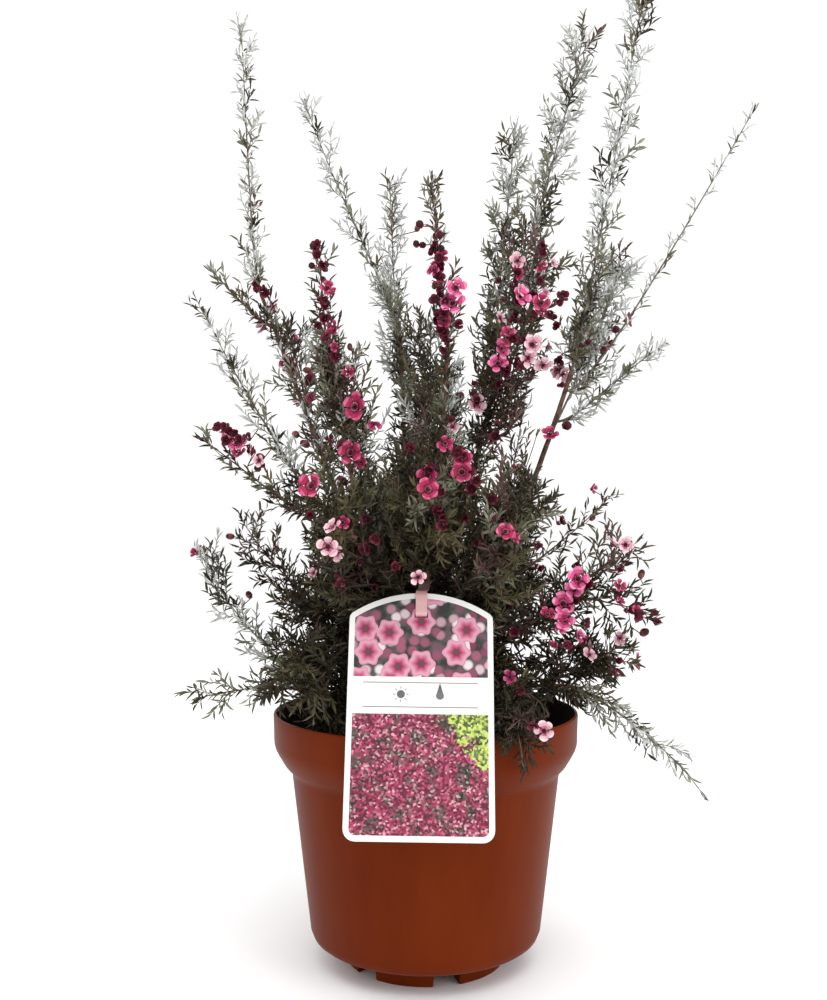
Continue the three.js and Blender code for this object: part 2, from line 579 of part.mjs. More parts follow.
// One mass: its stem, twigs that branch from it by a seeded rule, and leaves and blossom fused to them
function makeMass(mass, number, masses, limbs) {
  const random = seeded(7919 * (number + 1));
  const { stemLeaves, twigs, twigLeaves, twigShare, leaf } = mass.habit;
  const fits = (at, direction, length) => [0.2, 0.42, 0.7, 1].every((share) => (
    inOwnSpace(at.clone().addScaledVector(direction, share * length), mass, masses, limbs)
  ));
  let solid = toSolid(taperedTube(mass.curve, [0, 0.12, 0.3, 0.6, 1], mass.radiusAt, 3));

  const addLeaf = (at, direction, facing, length) => {
    if (!fits(at, direction, length)) {
      return false;
    }
    const root = at.clone().addScaledVector(direction, -LEAF_ROOT);
    solid = solid.add(toSolid(stand(leafGeometry(length + LEAF_ROOT), root, direction, facing)));
    return true;
  };

  const addTwig = (frame, turn, length) => {
    const direction = between(frame.tangent, around(frame, turn), TWIG_ANGLE);
    if (!fits(frame.point, direction, length)) {
      return false;
    }
    const cone = new THREE.ConeGeometry(TWIG_RADIUS, length, 3).translate(0, length / 2, 0);
    solid = solid.add(toSolid(stand(cone, frame.point, direction, frame.tangent)));
    const side = direction.clone().cross(frame.tangent).normalize();
    for (let i = 0; i < twigLeaves; i += 1) {
      const at = frame.point.clone().addScaledVector(direction, length * (0.45 + 0.35 * i));
      const sideways = side.clone().multiplyScalar(i % 2 ? 1 : -1);
      addLeaf(at, between(direction, sideways, LEAF_ANGLE), frame.tangent, leaf * (0.8 + 0.3 * random()));
    }
    const end = frame.point.clone().addScaledVector(direction, length - 2.5);
    addLeaf(end, direction, frame.tangent, leaf * (0.8 + 0.2 * random()));
    return true;
  };

  const spread = (count, first, span) => (
    Array.from({ length: count }, (_, i) => first + (span * (i + 0.45 * random())) / count)
  );
  const twigPlaces = spread(twigs, 0.16, 0.7);
  framesAlong(mass.curve, twigPlaces).forEach((frame, i) => {
    const length = mass.reach * twigShare * (1.1 - 0.4 * twigPlaces[i]) * (0.85 + 0.3 * random());
    const turn = i * GOLDEN_ANGLE + 60 * random();
    TRIES.some((more) => addTwig(frame, turn + more, length));
  });

  const leafPlaces = spread(stemLeaves, 0.1, 0.86);
  framesAlong(mass.curve, leafPlaces).forEach((frame, i) => {
    const turn = 70 + i * GOLDEN_ANGLE + 30 * random();
    const length = leaf * (0.85 + 0.3 * random());
    TRIES.some((more) => {
      const radial = around(frame, turn + more);
      return addLeaf(frame.point, between(frame.tangent, radial, LEAF_ANGLE), radial, length);
    });
  });

  const [tip] = framesAlong(mass.curve, [1]);
  const last = tip.point.clone().addScaledVector(tip.tangent, -LEAF_ROOT);
  solid = solid.add(toSolid(stand(leafGeometry(0.7 * leaf + LEAF_ROOT), last, tip.tangent, tip.side)));

  const facingOut = (share, heading) => {
    const [frame] = framesAlong(mass.curve, [share]);
    const outward = place([heading, 1, 0.35]);
    const radial = outward.addScaledVector(frame.tangent, -outward.dot(frame.tangent)).normalize();
    return { frame, radial };
  };
  (BLOOMS[mass.name] ?? []).forEach(([share, heading]) => {
    const { frame, radial } = facingOut(share, heading);
    const front = frame.point.clone().addScaledVector(radial, BLOOM_DEPTH);
    if (clearOfMadeThings(front)) {
      solid = solid.add(toSolid(stand(bloomGeometry(), frame.point, radial, frame.tangent)));
    }
  });
  (BUDS[mass.name] ?? []).forEach(([share, heading]) => {
    const { frame, radial } = facingOut(share, heading);
    const bud = new THREE.OctahedronGeometry(BUD_RADIUS).translate(0, 0.8 * BUD_RADIUS, 0);
    solid = solid.add(toSolid(stand(bud, frame.point, radial, frame.tangent)));
  });

  const largest = solid.decompose().reduce((left, right) => (left.volume() > right.volume() ? left : right));
  return named(mass.name, toGeometry(largest), TINTS[mass.tint], 0.7);
}

const limbs = LIMBS.map(limbOf);
const masses = MASSES.map((row) => massOf(row, limbs));
[trunk, ...limbs].forEach((limb) => {
  limb.line = sampleLine(limb.curve, 12);
});
masses.forEach((mass) => {
  mass.line = sampleLine(mass.curve, 10);
});

const plant = new THREE.Group();
plant.add(makePot(), makeSoil(), makeTrunk());
limbs.forEach((limb) => plant.add(makeLimb(limb)));
masses.forEach((mass, i) => plant.add(makeMass(mass, i, masses, [trunk, ...limbs])));
plant.add(makeCard(), makeStrap(limbs.find((limb) => limb.name === 'bough_front')));

export default plant;
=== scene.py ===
# %% [markdown]
# # A flowering shrub in a nursery pot
# The plant is 56 cm tall: a short trunk, thin boughs, thousands of twigs, narrow leaves and small
# five-petalled blossoms. It stands in a 17 cm pot of moulded plastic, with a label strapped to it.
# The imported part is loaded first. It fixes every place and size, and this script adds the looks.
# Sizes are in millimetres until a mesh is made, because the source of the part uses them too.

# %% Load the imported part
import math

import bmesh
import bpy
import numpy as np
from mathutils import Matrix, Vector, noise


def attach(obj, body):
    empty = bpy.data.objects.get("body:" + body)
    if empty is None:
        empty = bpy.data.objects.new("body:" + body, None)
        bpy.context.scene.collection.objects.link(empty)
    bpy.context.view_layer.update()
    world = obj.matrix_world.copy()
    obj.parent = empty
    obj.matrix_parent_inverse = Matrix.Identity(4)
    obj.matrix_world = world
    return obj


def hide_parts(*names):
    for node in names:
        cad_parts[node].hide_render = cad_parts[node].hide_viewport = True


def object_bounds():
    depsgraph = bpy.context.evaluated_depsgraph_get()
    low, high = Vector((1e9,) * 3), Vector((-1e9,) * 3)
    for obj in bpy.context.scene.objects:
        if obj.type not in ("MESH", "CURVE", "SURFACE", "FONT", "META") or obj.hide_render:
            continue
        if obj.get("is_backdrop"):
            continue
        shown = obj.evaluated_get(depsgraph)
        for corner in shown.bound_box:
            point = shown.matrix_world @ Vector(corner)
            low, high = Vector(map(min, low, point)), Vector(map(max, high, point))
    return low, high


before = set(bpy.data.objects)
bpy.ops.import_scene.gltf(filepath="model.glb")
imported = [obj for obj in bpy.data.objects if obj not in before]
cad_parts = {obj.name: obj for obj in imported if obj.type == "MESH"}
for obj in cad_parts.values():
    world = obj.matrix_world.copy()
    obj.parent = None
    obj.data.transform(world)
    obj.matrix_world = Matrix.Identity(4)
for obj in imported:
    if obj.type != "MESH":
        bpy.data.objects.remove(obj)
cad_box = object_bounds()
MM = 0.001
print("CAD nodes:", len(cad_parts), "CAD box in metres:", [list(corner) for corner in cad_box])

# %% [markdown]
# ## The camera
# The camera stands 65 cm in front of the pot's axis, at the height of the lower crown, and looks
# level. Its focal length comes from the size that the pot has in the picture.
# The picture's middle row lies just above the horizon, so the camera tips up by that much.

# %% Camera
PICTURE_WIDTH = 827
PICTURE_HEIGHT = 1000
FOCAL_PIXELS = 1121.0
HORIZON_ROW = 504.5
SENSOR_HEIGHT = 36.0
CAMERA_PLACE = np.array([-7.0, -654.5, 262.0])

camera_data = bpy.data.cameras.new("camera")
camera_data.sensor_fit = "VERTICAL"
camera_data.sensor_height = SENSOR_HEIGHT
camera_data.lens = SENSOR_HEIGHT * FOCAL_PIXELS / PICTURE_HEIGHT
camera_data.clip_start = 0.01
camera = bpy.data.objects.new("camera", camera_data)
camera.location = Vector(CAMERA_PLACE) * MM
tip_up = math.atan((HORIZON_ROW - PICTURE_HEIGHT / 2) / FOCAL_PIXELS)
camera.rotation_euler = (math.pi / 2 + tip_up, 0, 0)
bpy.context.scene.collection.objects.link(camera)
bpy.context.scene.camera = camera
print("lens:", round(camera_data.lens, 2), "mm, tipped up by", round(math.degrees(tip_up), 2), "degrees")

# %% [markdown]
# ## Helpers for colours, nodes and meshes
# Colours are written as sRGB hex values, as a colour picker shows them. Blender works with linear
# light, so one function turns them. Another adds a node with its settings and links.

# %% Colours and nodes
def linear(hex_colour):
    """An sRGB hex colour as linear red, green and blue, with full alpha."""
    channels = [int(hex_colour[i:i + 2], 16) / 255 for i in (1, 3, 5)]
    return [c / 12.92 if c <= 0.04045 else ((c + 0.055) / 1.055) ** 2.4 for c in channels] + [1.0]


def set_up(node, settings=None, links=None):
    """Gives a node its settings, by input or property, and its links, by input.

    A link comes from a socket, or from a node, which then gives its first output.
    """
    for name, value in (settings or {}).items():
        if name == "stops":
            while len(node.color_ramp.elements) < len(value):
                node.color_ramp.elements.new(1.0)
            for element, (position, colour) in zip(node.color_ramp.elements, value):
                element.position = position
                element.color = linear(colour)
        elif isinstance(name, str) and hasattr(node, name):
            setattr(node, name, value)
        else:
            node.inputs[name].default_value = value
    for name, source in (links or {}).items():
        socket = source if isinstance(source, bpy.types.NodeSocket) else source.outputs[0]
        node.id_data.links.new(socket, node.inputs[name])
    return node


def add_node(tree, kind, settings=None, links=None):
    """Adds a shader node with its settings and links."""
    return set_up(tree.nodes.new("ShaderNode" + kind), settings, links)


def new_material(name):
    """A material with its tree, its surface shader and its object coordinates."""
    material = bpy.data.materials.new(name)
    material.use_nodes = True
    tree = material.node_tree
    return material, tree, tree.nodes["Principled BSDF"], add_node(tree, "TexCoord").outputs["Object"]


# %% Meshes
def shape_of(bm):
    """A finished bmesh as points, faces and their material numbers. The bmesh is let go."""
    bm.verts.index_update()
    points = np.array([vertex.co[:] for vertex in bm.verts])
    faces = [[vertex.index for vertex in face.verts] for face in bm.faces]
    marks = [face.material_index for face in bm.faces]
    bm.free()
    return points, faces, marks


def extruded(bm, faces, step):
    """Extrudes faces and moves the new ones by a step. The new faces come back as a list."""
    moved = bmesh.ops.extrude_face_region(bm, geom=faces)["geom"]
    bmesh.ops.translate(bm, vec=step, verts=[part for part in moved if isinstance(part, bmesh.types.BMVert)])
    return [part for part in moved if isinstance(part, bmesh.types.BMFace)]


def piece_from(name, points, faces, marks, materials, smooth=True):
    """A mesh object at the origin, from points in millimetres."""
    mesh = bpy.data.meshes.new(name)
    sizes = np.array([len(face) for face in faces])
    corners = np.concatenate([np.asarray(face) for face in faces])
    mesh.vertices.add(len(points))
    mesh.vertices.foreach_set("co", (np.asarray(points) * MM).astype(np.float32).ravel())
    mesh.loops.add(len(corners))
    mesh.loops.foreach_set("vertex_index", corners.astype(np.int32))
    mesh.polygons.add(len(sizes))
    mesh.polygons.foreach_set("loop_start", (np.cumsum(sizes) - sizes).astype(np.int32))
    for material in materials:
        mesh.materials.append(material)
    mesh.polygons.foreach_set("material_index", np.asarray(marks, np.int32))
    mesh.polygons.foreach_set("use_smooth", np.full(len(sizes), smooth))
    mesh.update(calc_edges=True)
    mesh.validate()
    piece = bpy.data.objects.new(name, mesh)
    bpy.context.scene.collection.objects.link(piece)
    print(name, "has", int((sizes - 2).sum()), "triangles")
    return piece


def joined(name, parts, materials, smooth=True):
    """One piece from several shapes, each as points, faces and marks."""
    points, faces, marks, offset = [], [], [], 0
    for part_points, part_faces, part_marks in parts:
        points.append(part_points)
        faces.extend([[corner + offset for corner in face] for face in part_faces])
        marks.extend(part_marks)
        offset += len(part_points)
    return piece_from(name, np.concatenate(points), faces, marks, materials, smooth)


def copies(shape, roots, across, along, outward):
    """Copies of a shape whose x, y and z go along three given vectors each, as one shape."""
    points, faces, marks = shape
    moved = roots[:, None, :] + points[None, :, 0:1] * across[:, None, :]
    moved += points[None, :, 1:2] * along[:, None, :] + points[None, :, 2:3] * outward[:, None, :]
    offsets = np.arange(len(roots)) * len(points)
    all_faces = [[corner + offset for corner in face] for offset in offsets.tolist() for face in faces]
    return moved.reshape(-1, 3), all_faces, marks * len(roots)


# %% [markdown]
# ## The skeleton of the plant
# The limbs and the stems of the leaf masses are Bezier curves. They are worked out again here from
# the same sizes and by the same rule as in the part's source, so that each twig grows inside the
# space that its mass has in the part. A place is a heading from +X in degrees, a distance out from
# the pot's axis and a height.

# %% Sizes of the pot, the label and the trunk
CLEARANCE = 0.35
POT_HEIGHT = 142.6
RIM_RADIUS = 88.0
COLLAR_RADIUS = 87.6
SOIL_LEVEL = 127.0
TRUNK_TOP = (-38, 3, 177)
TRUNK_RADIUS = 4.6
TRUNK_TOP_RADIUS = 3.7
FLARE_RADIUS = 8.4
FLARE_HEIGHT = 0.12
CARD_WIDTH = 75.0
CARD_LENGTH = 126.0
CARD_THICKNESS = 0.6
CARD_BELOW_RIM = 49.0
CARD_LEAN = 20.0
CARD_ROLL = -0.8
CARD_OFFSET = -3.8
GOLDEN_ANGLE = 137.5
SPACE_MARGIN = 0.9
LIMB_MARGIN = 0.6
# The solids are a little stouter than the real boughs, so that they hold as parts
BOUGH_SLIMNESS = 0.7
STEM_TIP_RADIUS = 0.38
STEM_FOOT_RADIUS = 1.4
THINNER_THAN_LIMB = 0.1
# A stem stops short of the place of its tip, because the last leaf reaches on from there
TIP_LEAF = 9.0
TIP_LEAF_SHARE = 0.7
UP = np.array([0.0, 0.0, 1.0])
print("pot:", 2 * RIM_RADIUS, "by", POT_HEIGHT, "mm, card:", CARD_WIDTH, "by", CARD_LENGTH, "mm")

# %% Limbs and masses
# name, share of the trunk, tip, rise, radius at the foot, radius at the tip
LIMBS = [
    ("bough_leader", 1, (6, 50, 373), 0.2, 2.9, 1.7),
    ("bough_right", 0.9, (-14, 85, 338), 0.5, 2.9, 1.8),
    ("bough_left", 0.9, (170, 100, 388), 0.1, 2.7, 1.5),
    ("bough_spike", 0.8, (-64, 28, 349), 0.3, 2.4, 1.5),
    ("bough_back_left", 0.78, (111, 43, 367), 0.3, 2.5, 1.5),
    ("bough_left_front", 0.74, (-147, 65, 347), 0.7, 2.5, 1.5),
    ("bough_right_side", 0.66, (-21, 83, 209), 0.1, 2.3, 1.5),
    ("bough_left_low", 0.58, (-161, 76, 276), 0.4, 2.4, 1.5),
    ("bough_front", 0.52, (-91, 40, 221), 0.6, 2.3, 1.5),
    ("bough_back", 0.5, (79, 51, 227), 0.5, 2.5, 1.6),
    ("bough_left_side", 0.42, (173, 78, 205), 0.2, 2.3, 1.4),
    ("bough_low_right", 0.42, (-17, 84, 160), -0.2, 2.2, 1.4),
    ("bough_low_left", 0.26, (-158, 78, 159), 0, 2.1, 1.3),
]
# name, limb, share of the limb, tip, rise, reach, habit, tint
MASSES = [
    ("leader_far_left", "bough_left", 1, (167, 115, 554), 0.3, 15, "sprig", "silver"),
    ("arm_left", "bough_left", 0.92, (-173, 127, 399), 0.1, 13, "sprig", "olive"),
    ("left_shoulder", "bough_left", 0.74, (152, 96, 374), 0.4, 26, "open", "olive"),
    ("bud_spike", "bough_left_front", 1, (-139, 77, 405), 0.4, 13, "spray", "red"),
    ("heart_front", "bough_left_front", 0.34, (-116, 42, 270), 0.5, 30, "bush", "olive"),
    ("heart_left", "bough_left_low", 0.3, (-172, 66, 214), 0.5, 30, "dense", "olive"),
    ("heart_right", "bough_right", 0.22, (42, 62, 226), 0.5, 30, "dense", "olive"),
    ("heart_back", "bough_back_left", 0.3, (125, 62, 264), 0.5, 32, "bush", "olive"),
    ("mid_left", "bough_left_front", 0.72, (-154, 46, 352), 0.5, 28, "spray", "olive"),
    ("leader_left", "bough_back_left", 1, (147, 91, 517), 0.2, 16, "sprig", "silver"),
    ("grey_spray", "bough_back_left", 0.88, (108, 73, 472), 0.5, 19, "spray", "silver"),
    ("bloom_spike", "bough_spike", 1, (-87, 45, 444), 0.5, 14, "spray", "red"),
    ("mid_centre", "bough_spike", 0.62, (-63, 6, 368), 0.5, 30, "open", "olive"),
    ("leader_centre", "bough_leader", 1, (9, 97, 547), 0.3, 19, "open", "silver"),
    ("side_spray", "bough_leader", 0.9, (39, 72, 497), 0.5, 18, "open", "silver"),
    ("mid_right", "bough_leader", 0.72, (-32, 76, 400), 0.6, 28, "bush", "red"),
    ("leader_right", "bough_right", 1, (-5, 126, 559), 0.2, 18, "spray", "silver"),
    ("arm_right", "bough_right", 0.94, (7, 203, 504), 0.1, 14, "wisp", "silver"),
    ("right_shoulder", "bough_right", 0.84, (16, 126, 411), 0.3, 26, "open", "silver"),
    ("right_side", "bough_right", 0.86, (-21, 140, 350), -0.1, 13, "sprig", "silver"),
    ("inner_right", "bough_right", 0.5, (24, 66, 326), 0.5, 24, "wisp", "grey"),
    ("right_mid", "bough_right", 0.42, (19, 126, 270), 0.2, 22, "wisp", "olive"),
    ("left_low_tall", "bough_left_low", 1, (-160, 130, 369), 0.3, 18, "sprig", "silver"),
    ("left_low_pink", "bough_left_low", 0.88, (-150, 139, 298), 0, 13, "sprig", "red"),
    ("left_silver", "bough_low_left", 0.93, (164, 144, 234), 1.2, 23, "spray", "silver"),
    ("left_upper", "bough_left_side", 0.82, (175, 109, 252), 0.3, 24, "open", "olive"),
    ("low_left", "bough_low_left", 1, (-158, 136, 158), -0.2, 17, "sprig", "grey"),
    ("skirt_left", "bough_low_left", 0.66, (-133, 103, 187), 0.1, 32, "dense", "olive"),
    ("low_right", "bough_low_right", 1, (-15, 160, 102), -0.5, 15, "sprig", "silver"),
    ("right_low", "bough_low_right", 0.84, (5, 113, 177), 0.4, 28, "dense", "olive"),
    ("skirt_right", "bough_right_side", 0.5, (-64, 110, 132), -1.2, 19, "dense", "olive"),
    ("right_bush", "bough_right_side", 1, (-20, 133, 204), 0, 24, "spray", "olive"),
    ("right_bloom", "bough_right_side", 0.8, (-29, 123, 243), 0.3, 24, "open", "red"),
    ("front_centre", "bough_front", 1, (-91, 95, 274), 0.6, 36, "dense", "olive"),
    ("front_left", "bough_front", 0.82, (-122, 94, 264), 0.6, 36, "dense", "olive"),
    ("front_right", "bough_front", 0.62, (-61, 92, 264), 0.7, 36, "dense", "olive"),
    ("back_centre", "bough_back", 1, (88, 115, 347), 0.8, 38, "bush", "olive"),
    ("back_left", "bough_back", 0.84, (122, 118, 312), 0.7, 38, "bush", "olive"),
    ("back_right", "bough_back", 0.7, (52, 127, 312), 0.7, 38, "sprig", "olive"),
    ("back_low_left", "bough_back", 0.55, (118, 132, 206), 0.3, 36, "bush", "olive"),
    ("back_low_right", "bough_back", 0.42, (61, 132, 206), 0.3, 36, "bush", "olive"),
]
print("limbs:", len(LIMBS), "masses of leaves:", len(MASSES))


# %% Curves
def unit(vectors):
    """Vectors of length 1, one per row."""
    return vectors / np.maximum(np.linalg.norm(vectors, axis=-1, keepdims=True), 1e-9)


def place(heading, out, up):
    """A place as x, y and z."""
    angle = math.radians(heading)
    return np.array([out * math.cos(angle), out * math.sin(angle), up])


def bezier(controls, shares):
    """Points and unit tangents of a Bezier curve at each share of it."""
    shares = np.asarray(shares, float)[:, None]
    levels = [np.asarray(control, float)[None, :] + 0 * shares for control in controls]
    while len(levels) > 2:
        levels = [a + (b - a) * shares for a, b in zip(levels, levels[1:])]
    return levels[0] + (levels[1] - levels[0]) * shares, unit(levels[1] - levels[0])


# Any direction that isn't along a stem will do to start its frame
FIRST_SIDE = np.array([0.31, 0.95, 0.02])


def frames_along(controls, shares):
    """Points, tangents, sides and lifts of a frame that is carried along without twisting."""
    points, tangents = bezier(controls, shares)
    side = FIRST_SIDE
    sides = []
    for tangent in tangents:
        side = unit(side - tangent * (side @ tangent))
        sides.append(side)
    sides = np.array(sides)
    return points, tangents, sides, np.cross(sides, tangents)


# How a limb leaves its carrier, in millimetres and as a share of its length, and how it arrives
LEAVING_LENGTH = 4
LEAVING_SHARE = 0.07
ARRIVING_SHARE = 0.36


def growth_curve(start, leaving, tip, rise):
    """A limb's curve: it leaves its carrier squarely and bends over to its tip."""
    span = tip - start
    length = np.linalg.norm(span)
    arriving = unit(unit(span) + UP * rise)
    first = start + leaving * (LEAVING_SHARE * length + LEAVING_LENGTH)
    return [start, first, tip - arriving * ARRIVING_SHARE * length, tip]


def radius_of(carrier, share):
    """The radius of a limb or stem at a share of its length."""
    return carrier["foot"] + (carrier["end"] - carrier["foot"]) * share


def start_on(carrier, share, tip):
    """Where a limb starts: clear of its carrier's end, or square to its side."""
    points, tangents = bezier(carrier["controls"], [share])
    point, tangent = points[0], tangents[0]
    if share == 1:
        return point + tangent * CLEARANCE, tangent
    leaving = tip - point
    leaving = unit(leaving - tangent * (leaving @ tangent))
    return point + leaving * (radius_of(carrier, share) + CLEARANCE), leaving


def limb_on(carrier, name, share, end, rise, tip_leaf=0.0):
    """A limb or stem at a share of its carrier, with room for a leaf at its tip."""
    start, leaving = start_on(carrier, share, end)
    tip = end + unit(start - end) * TIP_LEAF_SHARE * tip_leaf
    root = bezier(carrier["controls"], [share])[0][0]
    return {"name": name, "controls": growth_curve(start, leaving, tip, rise), "root": root}


# %% The trunk, the limbs and the stems
LIMB_STEPS = 13
STEM_STEPS = 11
trunk_tip = place(*TRUNK_TOP)
trunk_foot = np.array([0, 0, SOIL_LEVEL + CLEARANCE])
trunk_bend = np.array([0, 0, (SOIL_LEVEL + trunk_tip[2]) / 2])
trunk = {
    "name": "trunk", "controls": [trunk_foot, trunk_bend, trunk_tip],
    "foot": TRUNK_RADIUS, "end": TRUNK_TOP_RADIUS,
}
limbs = []
for name, share, end, rise, foot_radius, tip_radius in LIMBS:
    limb = limb_on(trunk, name, share, place(*end), rise)
    limbs.append(limb | {"foot": foot_radius, "end": tip_radius})
masses = []
for name, on, share, end, rise, reach, habit, tint in MASSES:
    carrier = next(limb for limb in limbs if limb["name"] == on)
    stem = limb_on(carrier, name, share, place(*end), rise, TIP_LEAF)
    foot_radius = min(STEM_FOOT_RADIUS, radius_of(carrier, share) - THINNER_THAN_LIMB)
    stem |= {"foot": foot_radius, "end": STEM_TIP_RADIUS}
    masses.append(stem | {"reach": reach, "habit": habit, "tint": tint})
for own, steps in (([trunk] + limbs, LIMB_STEPS), (masses, STEM_STEPS)):
    for limb in own:
        limb["line"] = bezier(limb["controls"], np.linspace(0, 1, steps))[0]
        limb["length"] = np.linalg.norm(np.diff(limb["line"], axis=0), axis=1).sum()
print("longest stem:", round(max(mass["length"] for mass in masses)), "mm")

# %% [markdown]
# ## Whose space a point is in
# Each mass keeps to the points that are nearer to its own stem than to any other, measured in
# shares of their reach. This keeps the masses apart without any test of mesh against mesh.
# A point on the pot, on the label or on a limb belongs to nobody.

# %% The rule of space
CARD_PLACE = np.array(
    Matrix.Translation((CARD_OFFSET, -RIM_RADIUS - CLEARANCE, POT_HEIGHT))
    @ Matrix.Rotation(math.radians(90 - CARD_LEAN), 4, "X")
    @ Matrix.Rotation(math.radians(CARD_ROLL), 4, "Z")
    @ Matrix.Translation((0, -CARD_BELOW_RIM, 0))
)
CARD_PLACE_BACK = np.linalg.inv(CARD_PLACE)


def distance_to_line(points, line):
    """The distance from each point to a line of straight steps."""
    spans = np.diff(line, axis=0)
    from_start = points[:, None, :] - line[None, :-1, :]
    along = np.clip((from_start * spans).sum(2) / (spans * spans).sum(1), 0, 1)
    off = from_start - along[:, :, None] * spans
    return np.sqrt((off * off).sum(2).min(1))


# How far the leaves keep from the collar and the soil
INSIDE_COLLAR = 6
OVER_EDGE = 2
# Boxes that stay free of leaves, across, along and out of the card: nothing hangs in front of it
CARD_MARGIN = 1.5
CARD_BOX = (
    (-CARD_WIDTH / 2 - CARD_MARGIN, CARD_WIDTH / 2 + CARD_MARGIN),
    (-CARD_MARGIN, CARD_LENGTH + CARD_MARGIN), (-1.6, 40.0),
)
STRAP_BOX = ((-6, 6), (CARD_LENGTH - 16, CARD_LENGTH + 10), (-40, 4))


def in_box(places, box):
    """Whether each place is in a box. The places are a row of x, one of y and one of z."""
    return np.all([(row > low) & (row < high) for row, (low, high) in zip(places, box)], axis=0)


def clear_of_made_things(points):
    """Whether each point is clear of the pot, the soil and the label."""
    out = np.hypot(points[:, 0], points[:, 1])
    over_soil = out < COLLAR_RADIUS - INSIDE_COLLAR
    in_soil = over_soil & (points[:, 2] < SOIL_LEVEL + OVER_EDGE)
    in_wall = ~over_soil & (out < RIM_RADIUS + OVER_EDGE) & (points[:, 2] < POT_HEIGHT + OVER_EDGE)
    on_card = (points @ CARD_PLACE_BACK[:3, :3].T + CARD_PLACE_BACK[:3, 3]).T
    return ~(in_soil | in_wall | in_box(on_card, CARD_BOX) | in_box(on_card, STRAP_BOX))


# From above, the leaves fill an oval that is wider than it is deep, and rounder at the back
CROWN_FRONT = (215.0, 106.0)
CROWN_BACK = (215.0, 117.0)
CROWN_MARGIN = 2
BOX_LOW, BOX_HIGH = [np.array(corner) / MM for corner in cad_box]


def in_crown(points):
    """Whether each point is inside the crown's oval and near the box of the part."""
    half = np.where(points[:, 1:2] < 0, [CROWN_FRONT], [CROWN_BACK])
    in_oval = ((points[:, :2] / half) ** 2).sum(1) < 1
    above = (points >= BOX_LOW - CROWN_MARGIN).all(1)
    return in_oval & above & (points <= BOX_HIGH + CROWN_MARGIN).all(1)


# Stretches of bare wood that show, as the share of a stem or bough where its shoots begin or end
BARE_FOOT = 0.2
BARE_UNTIL = {
    "right_side": 0.1, "right_shoulder": 0.36, "inner_right": 0.4, "right_mid": 0.4,
    "bough_left_front": 0.78,
}
BARE_FROM = {
    "bough_right": 0.62, "bough_leader": 0.72, "bough_left": 0.97, "back_right": 0.72,
    "low_right": 0.8, "skirt_right": 0.84,
}
# A bough carries short shoots of its own. Two that show are leafy to their ends, with a habit,
# reach and tint of their own
LOW_REACH = 30.0
HIGH_REACH = 11.0
BOUGH_LEAVES = ("inner", LOW_REACH, "olive")
LEAFY_BOUGHS = {"bough_left_front": ("open", 16.0, "red"), "bough_left": ("sprig", 13.0, "grey")}
for mass in masses:
    mass["avoided"] = [trunk] + limbs
    mass["neighbours"] = []
    for other in masses:
        apart = distance_to_line(other["line"], mass["line"]).min()
        if other is not mass and apart < mass["reach"] + other["reach"] + SPACE_MARGIN:
            mass["neighbours"].append(other)
    mass["bare_until"] = BARE_UNTIL.get(mass["name"], 0.0)
for limb in limbs:
    limb["avoided"] = [trunk] + [other for other in limbs if other is not limb]
    limb["neighbours"] = []
    limb["habit"], limb["reach"], limb["tint"] = LEAFY_BOUGHS.get(limb["name"], BOUGH_LEAVES)
    limb["bare_until"] = BARE_UNTIL.get(limb["name"], BARE_FOOT)
for carrier in masses + limbs:
    carrier["bare_from"] = BARE_FROM.get(carrier["name"], 1.0)


def in_own_space(points, mass):
    """Whether each point lies in the mass's own space and touches no limb."""
    own = distance_to_line(points, mass["line"])
    fine = own <= mass["reach"]
    fine[fine] = clear_of_made_things(points[fine])
    fine[fine] = in_crown(points[fine])
    for other in mass["neighbours"]:
        share = own[fine] / mass["reach"]
        fine[fine] = (distance_to_line(points[fine], other["line"]) - SPACE_MARGIN) / other["reach"] >= share
    for limb in mass["avoided"]:
        clearance = limb["foot"] * BOUGH_SLIMNESS + LIMB_MARGIN
        fine[fine] = distance_to_line(points[fine], limb["line"]) > clearance
    return fine


def fits(starts, directions, lengths, rises, mass, shares=(0.25, 0.6, 1.0)):
    """Whether each twig or leaf, bent by its rise, keeps to the mass's own space."""
    reaches = [
        starts + (directions + np.outer(rises * share ** 2, UP)) * (lengths * share)[:, None]
        for share in shares
    ]
    inside = in_own_space(np.concatenate(reaches), mass)
    return inside.reshape(len(shares), -1).all(0)


neighbour_counts = [len(mass["neighbours"]) for mass in masses]
print("mean number of neighbours of a mass:", round(sum(neighbour_counts) / len(masses), 1))

# %% [markdown]
# ## How a mass grows
# A shoot leaves the stem at each node, turned from the last by the golden angle, as on the real
# plant. Longer shoots carry shorter ones, and each shoot carries narrow leaves that point forward.
# A shoot or leaf that leaves its space is turned around its stem, made shorter, or left out.
# The leaves have their real size, 4 to 9 mm, because there is room for all of them in the count.

# %% The habits of the shoots
# node_gap, leaf_gap and stem_gap are the distances between shoots on the stem, and between leaves
# on a shoot and on the stem, in millimetres. share is a shoot's length as a share of the reach,
# angle is in degrees, and tuft is the number of leaves at the stem's tip
HABIT_PARTS = ("node_gap", "share", "angle", "side_shoots", "leaf_gap", "stem_gap", "tuft")
HABITS = {name: dict(zip(HABIT_PARTS, row)) for name, *row in (
    ("wisp", 8.0, (0.3, 0.9), (18, 36), 0, 1.7, 7.0, 4),
    ("sprig", 5.0, (0.3, 1.5), (18, 42), 1, 1.55, 4.0, 6),
    ("spray", 3.6, (0.35, 1.2), (24, 50), 1, 1.35, 3.2, 6),
    ("open", 3.0, (0.45, 1.1), (28, 60), 2, 1.35, 3.0, 6),
    ("bush", 2.2, (0.5, 1.05), (32, 68), 3, 1.12, 2.6, 6),
    ("dense", 1.8, (0.5, 1.1), (32, 72), 4, 1.05, 2.4, 6),
    ("inner", 3.4, (0.35, 0.95), (34, 66), 2, 1.4, 9.0, 1),
)}
GROWTH_SEED = 7919
